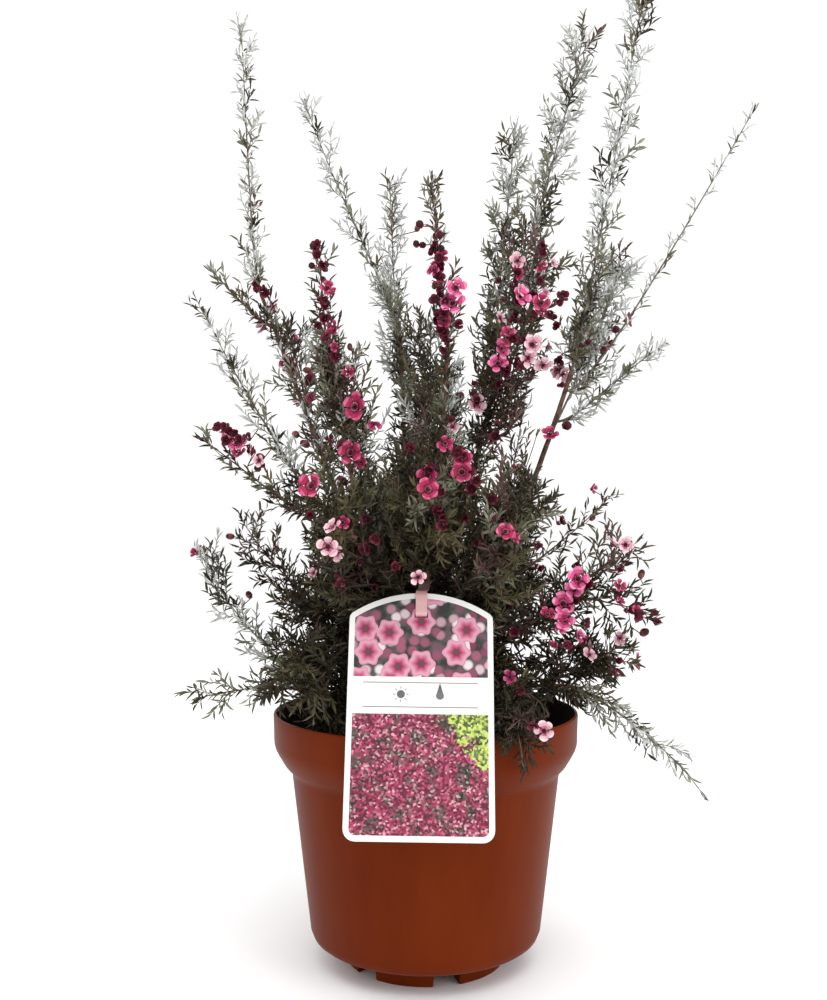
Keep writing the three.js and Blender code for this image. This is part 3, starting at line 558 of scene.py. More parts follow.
FEWEST_NODES = 5
NODE_SCATTER = (0.2, 0.8)
NODE_TURN = 40
SHOOT_ENDS = (0.03, 0.97)
# A shoot at the foot of a stem is longer than one at its tip
FOOT_LENGTH = 1.08
LENGTH_LOST = 0.35
# A bough's own shoots grow shorter above this height, over this distance
HEART_TOP = 255.0
HEART_FADE = 60
# Where side shoots stand on their shoot, and their length as a share of its own
SIDE_FROM = 0.25
SIDE_OVER = 0.65
SIDE_SCATTER = 0.12
SIDE_LENGTH = (0.35, 0.6)
FEWEST_LEAVES = 4
LEAF_LENGTH = (4.4, 8.6)
LEAF_WIDTH = 0.2
# Leaves lean away from their shoot by the first angle at its foot and by the second at its tip
LEAF_ANGLE = (56.0, 24.0)
LEAF_SCATTER = 13.0
STEM_LEAF_ANGLE = (30, 52)
TUFT_ANGLE = (6, 22)
TUFT_TURN = 72.0
TUFT_SHARE = 0.999
SHOOT_RADIUS = 0.33
# Shoots bend up to the light, but the lowest ones hang over the rim
SHOOT_RISE = 0.22
LOW_SHOOT_RISE = -0.18
HANGING_UP_TO = 152.0
RISING_FROM = 205.0
TRIES = (0, 75, -75, 150, -150)
SHORTER = (1.0, 0.62, 0.38)

# Which leaves a shoot carries, by the tint of its mass
LEAF_KINDS = ("dark", "olive", "green", "silver", "bronze")
TINTS = {
    "olive": (0.43, 0.38, 0.13, 0.0, 0.06),
    "silver": (0.09, 0.07, 0.16, 0.66, 0.02),
    "red": (0.32, 0.27, 0.13, 0.0, 0.28),
    "grey": (0.34, 0.16, 0.26, 0.24, 0.0),
}
# Painted light: high in the crown the leaves are drawn paler. Painted shade: low down they are drawn darker
PAINTED_LIGHT_TINT = (0.04, 0.18, 0.40, 0.36, 0.02)
PAINTED_SHADE_TINT = (0.86, 0.09, 0.0, 0.0, 0.05)
PAINTED_LIGHT_FROM = 235.0
PAINTED_LIGHT_OVER = 170.0
MOST_PAINTED_LIGHT = {"olive": 0.78, "silver": 0.0, "red": 0.4, "grey": 0.0}
PAINTED_SHADE_FROM = 235.0
PAINTED_SHADE_OVER = 70.0
MOST_PAINTED_SHADE = {"olive": 1.0, "silver": 0.0, "red": 0.85, "grey": 0.0}
# The feet of the leaders on the right are as dark as the heart, up to these heights
DARK_FEET = {"leader_centre": (436, "red"), "side_spray": (430, "olive"), "leader_right": (395, "olive")}
FOOT_SCATTER = 12
print("habits:", ", ".join(HABITS), "and kinds of leaf:", ", ".join(LEAF_KINDS))


def between(axes, radials, degrees):
    """Directions that lean from an axis towards a radial by an angle in degrees."""
    angles = np.radians(degrees)[:, None]
    return axes * np.cos(angles) + radials * np.sin(angles)


def around(sides, lifts, degrees):
    """Radial directions at an angle around an axis."""
    angles = np.radians(degrees)[:, None]
    return sides * np.cos(angles) + lifts * np.sin(angles)


# Hardly any shoot points exactly this way, so a side square to both can always be found
NEARLY_UP = UP + 0.01


def squared(axes, towards):
    """A side and a lift square to each axis."""
    sides = unit(np.cross(axes, towards))
    return sides, np.cross(sides, axes)


def rise_at(heights):
    """How much a shoot bends up, or down when negative, as a share of its length."""
    return np.interp(heights, (HANGING_UP_TO, RISING_FROM), (LOW_SHOOT_RISE, SHOOT_RISE))


def place_all(frames, turns, leans, lengths, rises, mass):
    """Tries every turn and length in order, and says which place each twig or leaf found."""
    starts, axes, sides, lifts = frames
    directions = np.zeros_like(starts)
    found = np.zeros(len(starts), bool)
    kept = lengths.copy()
    for shorter in SHORTER:
        for more in TRIES:
            left = np.flatnonzero(~found)
            if len(left) == 0:
                return directions, kept, found
            radials = around(sides[left], lifts[left], turns[left] + more)
            tried = between(axes[left], radials, leans[left])
            good = fits(starts[left], tried, lengths[left] * shorter, rises[left], mass)
            directions[left[good]] = tried[good]
            kept[left[good]] = lengths[left[good]] * shorter
            found[left[good]] = True
    return directions, kept, found


def kinds_at(heights, mass, rng):
    """A kind of leaf for each height, drawn by the tint of the mass there."""
    dark_up_to, foot_tint = DARK_FEET.get(mass["name"], (0.0, "olive"))
    in_foot = heights + rng.normal(0, FOOT_SCATTER, len(heights)) < dark_up_to
    tints = [foot_tint if low else mass["tint"] for low in in_foot]
    # Painted light: higher up, more leaves are drawn from the paler kinds
    pale = np.clip((heights - PAINTED_LIGHT_FROM) / PAINTED_LIGHT_OVER, 0, 1)
    pale = pale * [MOST_PAINTED_LIGHT[tint] for tint in tints]
    # Painted shade: lower down, more leaves are drawn from the dark kind
    shaded = np.clip((PAINTED_SHADE_FROM - heights) / PAINTED_SHADE_OVER, 0, 1)
    shaded = shaded * [MOST_PAINTED_SHADE[tint] for tint in tints]
    chances = np.array([TINTS[tint] for tint in tints]) * (1 - pale - shaded)[:, None]
    chances += np.outer(pale, PAINTED_LIGHT_TINT) + np.outer(shaded, PAINTED_SHADE_TINT)
    return (rng.random(len(heights))[:, None] > np.cumsum(chances, axis=1)[:, :-1]).sum(1)


def shoots_from(frames, turns, lengths, rng, mass):
    """Shoots that fit, as starts, directions, lengths and the index of what each came from."""
    starts = frames[0]
    leans = rng.uniform(*HABITS[mass["habit"]]["angle"], len(starts))
    directions, lengths, found = place_all(frames, turns, leans, lengths, rise_at(starts[:, 2]), mass)
    return starts[found], directions[found], lengths[found], np.flatnonzero(found)


def along_shoots(shoots, shares):
    """Points and tangents at one share of each shoot, which bends towards its tip."""
    starts, directions, lengths = shoots
    rises = rise_at(starts[:, 2])
    points = starts + (directions + np.outer(rises * shares ** 2, UP)) * (lengths * shares)[:, None]
    return points, unit(directions + np.outer(3 * rises * shares ** 2, UP))


# %% Growth
def nodes_along(mass, count, ends, rng):
    """Shares of a stem where something grows, unevenly spaced over the part that isn't bare."""
    shares = np.clip((np.arange(count) + rng.uniform(*NODE_SCATTER, count)) / count, *ends)
    return mass["bare_until"] + (mass["bare_from"] - mass["bare_until"]) * shares


def shoots_of(mass, rng):
    """The starts, directions and lengths of a mass's shoots, and the kind of leaf of each."""
    habit = HABITS[mass["habit"]]
    nodes = max(FEWEST_NODES, int(mass["length"] / habit["node_gap"]))
    shares = nodes_along(mass, nodes, SHOOT_ENDS, rng)
    frames = frames_along(mass["controls"], shares)
    turns = np.arange(nodes) * GOLDEN_ANGLE + rng.uniform(0, NODE_TURN, nodes)
    lengths = mass["reach"] * rng.uniform(*habit["share"], nodes) * (FOOT_LENGTH - LENGTH_LOST * shares)
    if mass["habit"] == "inner":
        high = np.clip((frames[0][:, 2] - HEART_TOP) / HEART_FADE, 0, 1)
        lengths *= 1 + (HIGH_REACH / LOW_REACH - 1) * high
    *first, _ = shoots_from(frames, turns, lengths, rng, mass)
    kinds = kinds_at(first[0][:, 2], mass, rng)
    groups = [(*first, kinds)]
    for order in range(habit["side_shoots"]):
        share = np.full(len(kinds), SIDE_FROM + SIDE_OVER * order / habit["side_shoots"])
        share = share + rng.uniform(0, SIDE_SCATTER, len(share))
        starts, axes = along_shoots(first, share)
        turns = rng.uniform(0, 360, len(starts))
        lengths = first[2] * rng.uniform(*SIDE_LENGTH, len(starts))
        side_frames = (starts, axes, *squared(axes, NEARLY_UP))
        *side, sources = shoots_from(side_frames, turns, lengths, rng, mass)
        groups.append((*side, kinds[sources]))
    *own_shoots, kinds = [np.concatenate(values) for values in zip(*groups)]
    return tuple(own_shoots), kinds


def leaves_of(mass, own_shoots, kinds, rng):
    """The starts, directions and lengths of a mass's leaves, the axes they grow on, and kinds."""
    # A longer shoot has more leaves, and the last one stands at its tip
    habit = HABITS[mass["habit"]]
    counts = np.maximum(FEWEST_LEAVES, (own_shoots[2] / habit["leaf_gap"]).astype(int))
    owner = np.repeat(np.arange(len(counts)), counts)
    order = np.concatenate([np.arange(count) for count in counts])
    share = (order + 1.0) / counts[owner]
    starts, axes = along_shoots(tuple(values[owner] for values in own_shoots), share)
    on_shoots = (starts, axes, *squared(axes, NEARLY_UP))
    turns = order * GOLDEN_ANGLE + rng.uniform(0, 360, len(counts))[owner]
    leans = LEAF_ANGLE[0] + (LEAF_ANGLE[1] - LEAF_ANGLE[0]) * share ** 2
    leans += rng.uniform(-LEAF_SCATTER, LEAF_SCATTER, len(owner))

    # The stem has leaves of its own, and a tuft at its tip, in the kinds of their heights
    on_stem = int(mass["length"] / habit["stem_gap"])
    tuft = habit["tuft"]
    stem_frames = frames_along(mass["controls"], nodes_along(mass, on_stem, (0, 1), rng))
    tip_frames = frames_along(mass["controls"], np.full(tuft, TUFT_SHARE))
    frames = [np.concatenate(rows) for rows in zip(on_shoots, stem_frames, tip_frames)]
    turns = np.concatenate([turns, np.arange(on_stem) * GOLDEN_ANGLE, np.arange(tuft) * TUFT_TURN])
    stem_leans = rng.uniform(*STEM_LEAF_ANGLE, on_stem)
    leans = np.concatenate([leans, stem_leans, rng.uniform(*TUFT_ANGLE, tuft)])
    kinds = np.concatenate([kinds[owner], kinds_at(frames[0][len(owner):, 2], mass, rng)])
    lengths = rng.uniform(*LEAF_LENGTH, len(kinds))
    directions, lengths, found = place_all(frames, turns, leans, lengths, np.zeros(len(kinds)), mass)
    return frames[0][found], directions[found], lengths[found], frames[1][found], kinds[found]


def grow(mass, number):
    """The shoots and the leaves of one mass or bough, each from a seed of its own."""
    rng = np.random.default_rng(GROWTH_SEED * (number + 1))
    own_shoots, kinds = shoots_of(mass, rng)
    return own_shoots, leaves_of(mass, own_shoots, kinds, rng)


carriers = masses + limbs
grown = [grow(carrier, number) for number, carrier in enumerate(carriers)]
shoots, leaves = [tuple(np.concatenate(rows) for rows in zip(*results)) for results in zip(*grown)]
shoot_carriers = np.repeat(np.arange(len(carriers)), [len(own_shoots[0]) for own_shoots, _ in grown])
print("shoots:", len(shoots[0]), "leaves:", len(leaves[0]))

# %% [markdown]
# ## Materials of the plant
# Young leaves of this shrub are thin and waxy, and grey with down at the ends of the shoots. Older
# ones inside are dark olive, and those by the buds are bronze. Low in the crown the dark kind is also
# dealt out as painted shade, and high up the paler kinds as painted light. One function makes each
# kind from two shades, mixed by a noise of about a leaf's length, so that no two leaves are quite alike.
# The colours that have a place are dealt out by shoot, as one material for each kind of leaf.

# %% Leaf and bark materials
def mottled(name, dark, light, size_mm, roughness, bump_mm=0.0, specular=0.5):
    """A surface of two shades that vary over a size in millimetres, with a relief four times finer."""
    material, tree, shader, here = new_material(name)
    scale = 1 / (size_mm * MM)
    patches = add_node(tree, "TexNoise", {"Scale": scale, "Detail": 3.0, "Roughness": 0.6}, {"Vector": here})
    shades = add_node(tree, "ValToRGB", {"stops": [(0.34, dark), (0.66, light)]}, {"Fac": patches})
    set_up(shader, {"Roughness": roughness, "Specular IOR Level": specular}, {"Base Color": shades})
    if bump_mm:
        relief = add_node(tree, "TexNoise", {"Scale": 4 * scale, "Detail": 4.0}, {"Vector": here})
        bump = add_node(tree, "Bump", {"Distance": bump_mm * MM, "Strength": 0.7}, {"Height": relief})
        set_up(shader, links={"Normal": bump})
    return material


# A waxy skin gives the dark leaves a soft gleam, and down makes the pale ones matt
LEAF_SHADE_SIZE = 7.0
LEAF_LOOKS = {}
for kind, name, dark, light, roughness in (
    ("dark", "waxy_leaf_dark_olive", "#1e1b0f", "#3b3520", 0.55),
    ("olive", "waxy_leaf_olive", "#3d3923", "#6a6346", 0.55),
    ("green", "waxy_leaf_grey_green", "#5c5d4b", "#8b8c78", 0.55),
    ("silver", "downy_leaf_silver", "#9b9e99", "#dadcd8", 0.7),
    ("bronze", "waxy_leaf_bronze", "#3f2c26", "#69504a", 0.55),
):
    LEAF_LOOKS[kind] = mottled(name, dark, light, LEAF_SHADE_SIZE, roughness, specular=0.3)
# Young bark is thin and red-brown. On the silver shoots, grey down hides its red
young_bark = mottled("young_red_brown_bark", "#452f27", "#705345", 6.0, 0.7)
downy_bark = mottled("young_downy_bark", "#544c43", "#837a70", 6.0, 0.8)
print("materials of the leaves:", ", ".join(look.name for look in LEAF_LOOKS.values()))

# %% [markdown]
# ## Shoots and stems
# A shoot is a three-sided tube with a bend, and a stem has five sides and more rings. Each starts
# as a straight tube from a circle that is extruded, and arrays then move its rings onto the curves.
# A curve object with a bevel would bend by itself, but thousands of them are slow to make a mesh.

# %% A straight tube of unit size
def unit_tube(rings, sides):
    """A tube of radius 1 whose height is its number of rings, as points, faces and marks."""
    bm = bmesh.new()
    bmesh.ops.create_circle(bm, cap_ends=True, segments=sides, radius=1)
    top = bm.faces[:]
    for _ in range(rings):
        top = extruded(bm, top, (0, 0, 1))
    bmesh.ops.recalc_face_normals(bm, faces=bm.faces)
    return shape_of(bm)


def tube_on(controls, shares, radii, sides, relief=None):
    """A tube whose rings lie on a curve. Relief gives each point's own distance from the middle."""
    points, faces, marks = unit_tube(len(shares) - 1, sides)
    centres, _, side, lift = frames_along(controls, shares)
    rings = np.rint(points[:, 2]).astype(int)
    outward = side[rings] * points[:, 0:1] + lift[rings] * points[:, 1:2]
    radius = np.asarray(radii)[rings][:, None]
    if relief:
        radius = radius * np.array([relief(ring, point) for ring, point in zip(rings, points)])[:, None]
    return centres[rings] + outward * radius, faces, marks


# %% Twigs
STEM_RINGS = 15
SHOOT_RINGS = 3
SHOOT_TAPER = (1.0, 0.8, 0.4)
STEM_SLIMNESS = 0.62
stem_shares = np.linspace(0, 1, STEM_RINGS + 1)
ring_points, ring_faces, ring_marks = unit_tube(SHOOT_RINGS - 1, 3)
ring_of = np.rint(ring_points[:, 2]).astype(int)
taper = np.array(SHOOT_TAPER)[ring_of] * SHOOT_RADIUS


def tubes_of(own_shoots):
    """The tubes of many shoots as one shape."""
    starts, directions, lengths = own_shoots
    sides, lifts = squared(directions, NEARLY_UP)
    rows = np.array([
        along_shoots(own_shoots, np.full(len(starts), ring / (SHOOT_RINGS - 1)))[0]
        for ring in range(SHOOT_RINGS)
    ])
    points = rows[ring_of] + (
        sides[None] * (ring_points[:, 0] * taper)[:, None, None]
        + lifts[None] * (ring_points[:, 1] * taper)[:, None, None]
    )
    offsets = (np.arange(len(starts)) * len(ring_points)).tolist()
    faces = [[corner + offset for corner in face] for offset in offsets for face in ring_faces]
    return points.transpose(1, 0, 2).reshape(-1, 3), faces, ring_marks * len(starts)


def twig_piece(name, chosen, look):
    """The stems of the chosen masses, and all the shoots that grow on them."""
    parts = []
    for number in chosen:
        mass = carriers[number]
        if mass["habit"] != "inner":
            # The stem starts inside its limb, so that no gap shows where they meet
            controls = [mass["root"]] + mass["controls"][1:]
            radii = np.maximum(STEM_SLIMNESS * radius_of(mass, stem_shares), SHOOT_RADIUS)
            parts.append(tube_on(controls, stem_shares, radii, 5))
    own = np.isin(shoot_carriers, chosen)
    parts.append(tubes_of(tuple(values[own] for values in shoots)))
    return joined(name, parts, [look])


silver_numbers = [number for number, carrier in enumerate(carriers) if carrier["tint"] == "silver"]
brown_numbers = [number for number in range(len(carriers)) if number not in silver_numbers]
brown_twigs = twig_piece("twigs_brown", brown_numbers, young_bark)
silver_twigs = twig_piece("twigs_silver", silver_numbers, downy_bark)

# %% [markdown]
# ## Bark
# The trunk and the boughs are one mesh with the relief of the bark: long ridges, and a scale
# between them that lifts a little. The ridges are drawn about twice as coarse as real ones, because
# finer ones wouldn't show. Bump alone would leave the outline of the wood smooth. Each bough
# starts inside the trunk, with a swollen collar.

# %% Trunk and boughs
BARK_RIDGE = 1.6
BARK_LENGTH = 9.0
BARK_DEPTH = 0.16
# Flakes are half as deep as ridges. Their spacing is a factor on places in millimetres
FLAKE_SHARE = 0.5
FLAKE_SPACING = 0.6
TRUNK_RINGS = 46
TRUNK_SIDES = 28
BOUGH_RINGS = 90
BOUGH_SIDES = 12
# A bough's collar is half as wide again as the bough, and fades over this share of its length
COLLAR_SWELL = 0.5
COLLAR_SHARE = 0.07


def bark_relief(centres, radii):
    """A function that gives a ring's point its share of the radius."""
    def at(ring, point):
        around_place = Vector((point[0], point[1], 0)) * radii[ring] / BARK_RIDGE
        ridge = noise.noise(around_place + Vector((0, 0, centres[ring][2] / BARK_LENGTH)))
        flake = noise.noise(Vector(centres[ring]) * FLAKE_SPACING + around_place * 2)
        return 1 + BARK_DEPTH * (ridge + FLAKE_SHARE * flake)
    return at


def bark_tube(controls, radii, shares, sides):
    """A limb's tube with the relief of its bark."""
    return tube_on(controls, shares, radii, sides, bark_relief(bezier(controls, shares)[0], radii))


trunk_shares = np.linspace(0, 1, TRUNK_RINGS)
flare = np.maximum(0, 1 - trunk_shares / FLARE_HEIGHT) ** 2
trunk_radii = radius_of(trunk, trunk_shares) + (FLARE_RADIUS - TRUNK_RADIUS) * flare
bark_parts = [bark_tube(trunk["controls"], trunk_radii, trunk_shares, TRUNK_SIDES)]
shares = np.linspace(0, 1, BOUGH_RINGS)
collar = 1 + COLLAR_SWELL * np.maximum(0, 1 - shares / COLLAR_SHARE)
for limb in limbs:
    radii = radius_of(limb, shares) * collar * BOUGH_SLIMNESS
    controls = [limb["root"]] + limb["controls"][1:]
    bark_parts.append(bark_tube(controls, radii, shares, BOUGH_SIDES))

# Old bark is dry and flaking, so it is dull, and its ridges catch the light
bark_look = mottled("flaking_shrub_bark", "#38271f", "#6b4e41", 3.0, 0.8, bump_mm=0.25, specular=0.3)
bark = joined("bark", bark_parts, [bark_look])

# %% [markdown]
# ## Leaves
# A leaf is a narrow blade with a fold along its middle, widest a third of the way up, and ends in a
# point. The blade is a small grid whose end rows are drawn together. Each kind of leaf is one mesh
# that holds some thousands of copies, moved into place by arrays. A particle system could scatter
# them too, but its leaves would not be in the exported model.

# %% One leaf
LEAF_ROWS = 4
LEAF_FOLD = 0.22
LEAF_CURL = 0.04
bm = bmesh.new()
bmesh.ops.create_grid(bm, x_segments=2, y_segments=LEAF_ROWS - 1, size=0.5)
half_widths = {0: 0.08, 1: 0.5, 2: 0.42, 3: 0.0}
row_heights = {0: 0.0, 1: 0.34, 2: 0.68, 3: 1.0}
for vertex in bm.verts:
    row = round((vertex.co.y + 0.5) * (LEAF_ROWS - 1))
    half = half_widths[row] * 2 * abs(vertex.co.x)
    vertex.co.z = LEAF_FOLD * half - LEAF_CURL * row_heights[row] ** 2
    vertex.co.x = math.copysign(half, vertex.co.x)
    vertex.co.y = row_heights[row]
bmesh.ops.remove_doubles(bm, verts=bm.verts, dist=0.001)
leaf_shape = shape_of(bm)
print("faces of a leaf:", len(leaf_shape[1]))

# %% The turn of each leaf
# A leaf rolls by about this many degrees, and its width varies by this factor
LEAF_ROLL = 28
LEAF_UNEVEN = (0.85, 1.15)
# Keeps the side of a leaf that points along its shoot from vanishing
TINY = 1e-6
LEAF_SEED = 29


def turned(sides, lifts, angles):
    """Sides and lifts turned around the axis that is square to both, by angles in radians."""
    return sides * np.cos(angles) + lifts * np.sin(angles), lifts * np.cos(angles) - sides * np.sin(angles)


def leaf_frames(starts, directions, lengths, axes, rng):
    """How far a leaf's own x, y and z go: across, along and out of its face."""
    across = unit(np.cross(directions, axes) + TINY)
    outward = unit(np.cross(across, directions))
    across, outward = turned(across, outward, np.radians(rng.normal(0, LEAF_ROLL, len(starts)))[:, None])
    width = lengths[:, None] * LEAF_WIDTH * rng.uniform(*LEAF_UNEVEN, len(starts))[:, None]
    return across * width, directions * lengths[:, None], outward * lengths[:, None]


# %% [markdown]
# ## Blossoms and buds
# A blossom is 8 to 17 mm wide: five round petals around a dark cup with a ring of stamens. The
# petals are a small grid each, turned four times around the cup. Colours that have a place on the
# flower are separate materials: the petal, its darker throat, its pale edge, the maroon cup, the
# calyx below and the stamens. A half-open flower has the same parts with its petals raised. A flat
# card with a picture would be lighter, but its petals couldn't be raised or catch the light.

# %% One blossom and one bud, of radius 1, open along +Z
PETAL, THROAT, CUP, CALYX, STAMEN, EDGE = range(6)
PETALS = 5
STAMENS = 14
# Distance out and half width of a petal's rows, and which material its three bands take
PETAL_ROWS = ((0.26, 0.10), (0.48, 0.30), (0.75, 0.41), (0.95, 0.27))
PETAL_BANDS = {-1: THROAT, 0: PETAL, 1: EDGE}
# How far the end of a petal is rounded out, its sides are cupped and its end stands up
PETAL_ROUNDING = 0.07
PETAL_CUPPING = 0.10
PETAL_LIFT = 0.05
# How petals differ: pitch and roll in radians, heading in shares of a petal's turn, and size
PETAL_PITCH = 0.3
PETAL_ROLL = 0.2
PETAL_DRIFT = 0.12
PETAL_SIZES = (0.86, 1.08)
# Radius at the foot, radius at the top and height
STAMEN_SIZE = (0.016, 0.034, 0.24)
STAMEN_PLACE = (0.22, 0, 0.10)
STAMEN_LEAN = 0.5
CUP_SIZE = (0.12, 0.36, 0.34)
# Faces of the cup above this height are its mouth, and the others are the calyx
MOUTH_HEIGHT = -0.01
BUD_SIZE = (0.8, 0.8, 1.1)
BUD_LIFT = 0.9
BUD_CALYX_TOP = 0.1


def add_cone(bm, segments, size, matrix, mark):
    """Adds a closed cone to a bmesh, and gives its faces a material number."""
    known = set(bm.faces)
    foot, top, height = size
    bmesh.ops.create_cone(bm, cap_ends=True, segments=segments, radius1=foot, radius2=top,
                          depth=height, matrix=matrix)
    for face in set(bm.faces) - known:
        face.material_index = mark


def blossom_shape(raised, seed):
    """A flower whose petals stand up from flat by about an angle in degrees."""
    rng = np.random.default_rng(seed)
    bm = bmesh.new()
    bmesh.ops.create_grid(bm, x_segments=3, y_segments=3, size=0.5)
    for face in bm.faces:
        face.material_index = PETAL_BANDS[round(face.calc_center_median().y * 3)]
    for vertex in bm.verts:
        row = round((vertex.co.y + 0.5) * 3)
        out, half = PETAL_ROWS[row]
        across = 2 * vertex.co.x
        rounding = PETAL_ROUNDING * (1 - across ** 2) * (row == 3)
        height = PETAL_CUPPING * out * across ** 2 + PETAL_LIFT * out
        vertex.co = Vector((half * across, out + rounding, height))
    bmesh.ops.transform(bm, matrix=Matrix.Rotation(math.radians(raised), 4, "X"), verts=bm.verts)
    petal = bm.verts[:] + bm.edges[:] + bm.faces[:]
    for number in range(1, PETALS):
        twin = bmesh.ops.duplicate(bm, geom=petal)["geom"]
        twin_points = [part for part in twin if isinstance(part, bmesh.types.BMVert)]
        pitch = Matrix.Rotation(rng.uniform(-PETAL_PITCH, PETAL_PITCH), 4, "X")
        roll = Matrix.Rotation(rng.uniform(-PETAL_ROLL, PETAL_ROLL), 4, "Y")
        heading = (number + rng.uniform(-PETAL_DRIFT, PETAL_DRIFT)) * math.tau / PETALS
        size = Matrix.Scale(rng.uniform(*PETAL_SIZES), 4)
        turn = Matrix.Rotation(heading, 4, "Z") @ pitch @ roll @ size
        bmesh.ops.transform(bm, matrix=turn, verts=twin_points)
    lean = Matrix.Translation(STAMEN_PLACE) @ Matrix.Rotation(STAMEN_LEAN, 4, "Y")
    for number in range(STAMENS):
        turn = Matrix.Rotation(number * math.tau / STAMENS, 4, "Z")
        add_cone(bm, 3, STAMEN_SIZE, turn @ lean, STAMEN)
    add_cone(bm, 10, CUP_SIZE, Matrix.Translation((0, 0, -CUP_SIZE[2] / 2)), CALYX)
    for face in bm.faces:
        if face.material_index == CALYX and face.calc_center_median().z > MOUTH_HEIGHT:
            face.material_index = CUP
    return shape_of(bm)


def bud_shape():
    """A closed bud in its calyx: an egg whose lower half is the calyx."""
    bm = bmesh.new()
    bmesh.ops.create_uvsphere(bm, u_segments=7, v_segments=5, radius=1)
    for face in bm.faces:
        face.material_index = PETAL if face.calc_center_median().z > BUD_CALYX_TOP else CALYX
    bmesh.ops.scale(bm, vec=BUD_SIZE, verts=bm.verts)
    bmesh.ops.translate(bm, vec=(0, 0, BUD_LIFT), verts=bm.verts)
    return shape_of(bm)


open_blossoms = [blossom_shape(raised, seed) for seed, raised in enumerate((4, 14, 22))]
cupped_blossoms = [blossom_shape(raised, seed) for seed, raised in enumerate((36, 50, 62))]
bud = bud_shape()
print("triangles of a blossom:", sum(len(face) - 2 for face in open_blossoms[0][1]))

# %% [markdown]
# ## Where the blossoms are
# Each flower that shows in the picture is named by its column and row there. It is set on the
# foremost twig that lies along that line of sight, on a short stalk of its own, so that it sits on
# the plant from every side. A spike is set with small dark flowers between its two ends. Flowers
# scattered by chance alone would miss the clusters and spikes that give this plant its look.

# %% Flowers seen in the picture: column, row, width in millimetres
SEEN = {
    "pink": [
        (453, 304, 16), (456, 288, 12), (229, 435, 11), (237, 443, 11), (578, 579, 13), (574, 591, 12),
        (563, 604, 14), (565, 620, 12), (578, 636, 10), (510, 677, 9), (374, 424, 9), (520, 297, 13),
        (501, 349, 12), (498, 364, 12),
    ],
    "magenta": [
        (356, 407, 17), (351, 453, 15), (312, 486, 15), (427, 476, 12), (428, 490, 12), (462, 472, 13),
        (505, 532, 11), (513, 536, 10), (547, 615, 10), (361, 462, 9), (550, 435, 11), (541, 303, 12),
        (507, 338, 10), (517, 272, 10), (592, 489, 8), (614, 673, 10), (619, 586, 9), (496, 519, 9),
        (311, 398, 8), (445, 443, 9), (240, 453, 9), (349, 372, 8), (464, 459, 10),
    ],
    "pale": [
        (328, 547, 12), (337, 553, 9), (476, 404, 14), (418, 577, 9), (613, 544, 11), (625, 545, 10),
        (543, 366, 12), (562, 374, 11), (532, 345, 13), (528, 358, 11), (544, 731, 11), (314, 573, 8),
        (620, 638, 9), (589, 655, 9), (252, 450, 9), (500, 318, 8),
    ],
    "deep": [
        (439, 259, 9), (441, 267, 9), (435, 276, 9), (439, 318, 9), (457, 326, 9), (448, 340, 8),
        (260, 288, 9), (322, 303, 8), (319, 327, 9), (503, 374, 9), (516, 321, 9), (555, 328, 9),
        (218, 428, 8), (249, 439, 8), (311, 516, 9), (376, 538, 9), (343, 585, 9), (537, 566, 10),
        (537, 548, 8), (559, 523, 9), (464, 517, 9), (368, 519, 9), (395, 568, 8), (622, 567, 8),
        (519, 691, 8), (514, 631, 9), (615, 660, 9), (533, 722, 9), (410, 450, 9), (463, 451, 9),
        (490, 500, 9), (475, 545, 8), (443, 520, 8),
    ],
    "bud": [
        (319, 243, 5), (314, 247, 4), (312, 266, 5), (420, 226, 6), (416, 231, 5), (438, 234, 6),
        (417, 246, 5), (424, 245, 5), (440, 250, 5), (434, 288, 5), (496, 282, 5), (564, 425, 7),
        (614, 330, 6), (589, 344, 5), (577, 346, 4), (602, 353, 5), (638, 615, 6), (641, 634, 6),
        (652, 613, 5), (251, 598, 5), (259, 470, 5), (264, 458, 5), (509, 606, 6), (350, 350, 4),
        (325, 316, 5), (330, 290, 5), (451, 420, 5), (590, 520, 4), (560, 362, 5), (640, 578, 5),
    ],
}
# Spikes: both ends in the picture, count and scatter in pixels. A flower lies off the line by a
# normal spread of a share of the scatter
SPREAD_SHARE = 0.6
SPIKES = [
    ((321, 246), (334, 352), 17, 5), ((434, 240), (446, 345), 26, 7), ((524, 270), (506, 378), 26, 12),
    ((560, 362), (556, 380), 5, 6), ((222, 427), (264, 462), 9, 6), ((578, 574), (560, 648), 10, 12),
    ((612, 596), (650, 618), 7, 8), ((458, 432), (470, 490), 8, 8), ((330, 520), (384, 600), 9, 18),
    ((478, 380), (500, 430), 5, 9), ((262, 282), (266, 292), 3, 4), ((424, 470), (440, 520), 6, 9),
    ((540, 252), (556, 332), 12, 11),
]
SPIKE_KINDS = ("deep", "bud", "magenta", "pale")
SPIKE_SHARES = (0.68, 0.10, 0.15, 0.07)
SPIKE_BUD_WIDTHS = (4, 5.5)
SPIKE_WIDTHS = (6, 10.5)
print("flowers seen:", sum(len(seen) for seen in SEEN.values()), "spikes:", len(SPIKES))

# %% Places that can carry a flower
# Flowers stand on shoots, at these shares of them, and on the stems and boughs themselves
SHOOT_SHARES = (0.35, 0.7, 1.0)
STEM_SHARES = np.linspace(0.15, 1, 24)
candidates = [along_shoots(shoots, np.full(len(shoots[0]), share))[0] for share in SHOOT_SHARES]
candidates += [bezier(carrier["controls"], STEM_SHARES)[0] for carrier in carriers]
candidates = np.concatenate(candidates)
print("places that can carry a flower:", len(candidates))


def in_picture(points):
    """The column and row where each point shows."""
    depth = points[:, 1] - CAMERA_PLACE[1]
    column = PICTURE_WIDTH / 2 + FOCAL_PIXELS * (points[:, 0] - CAMERA_PLACE[0]) / depth
    row = HORIZON_ROW - FOCAL_PIXELS * (points[:, 2] - CAMERA_PLACE[2]) / depth
    return column, row


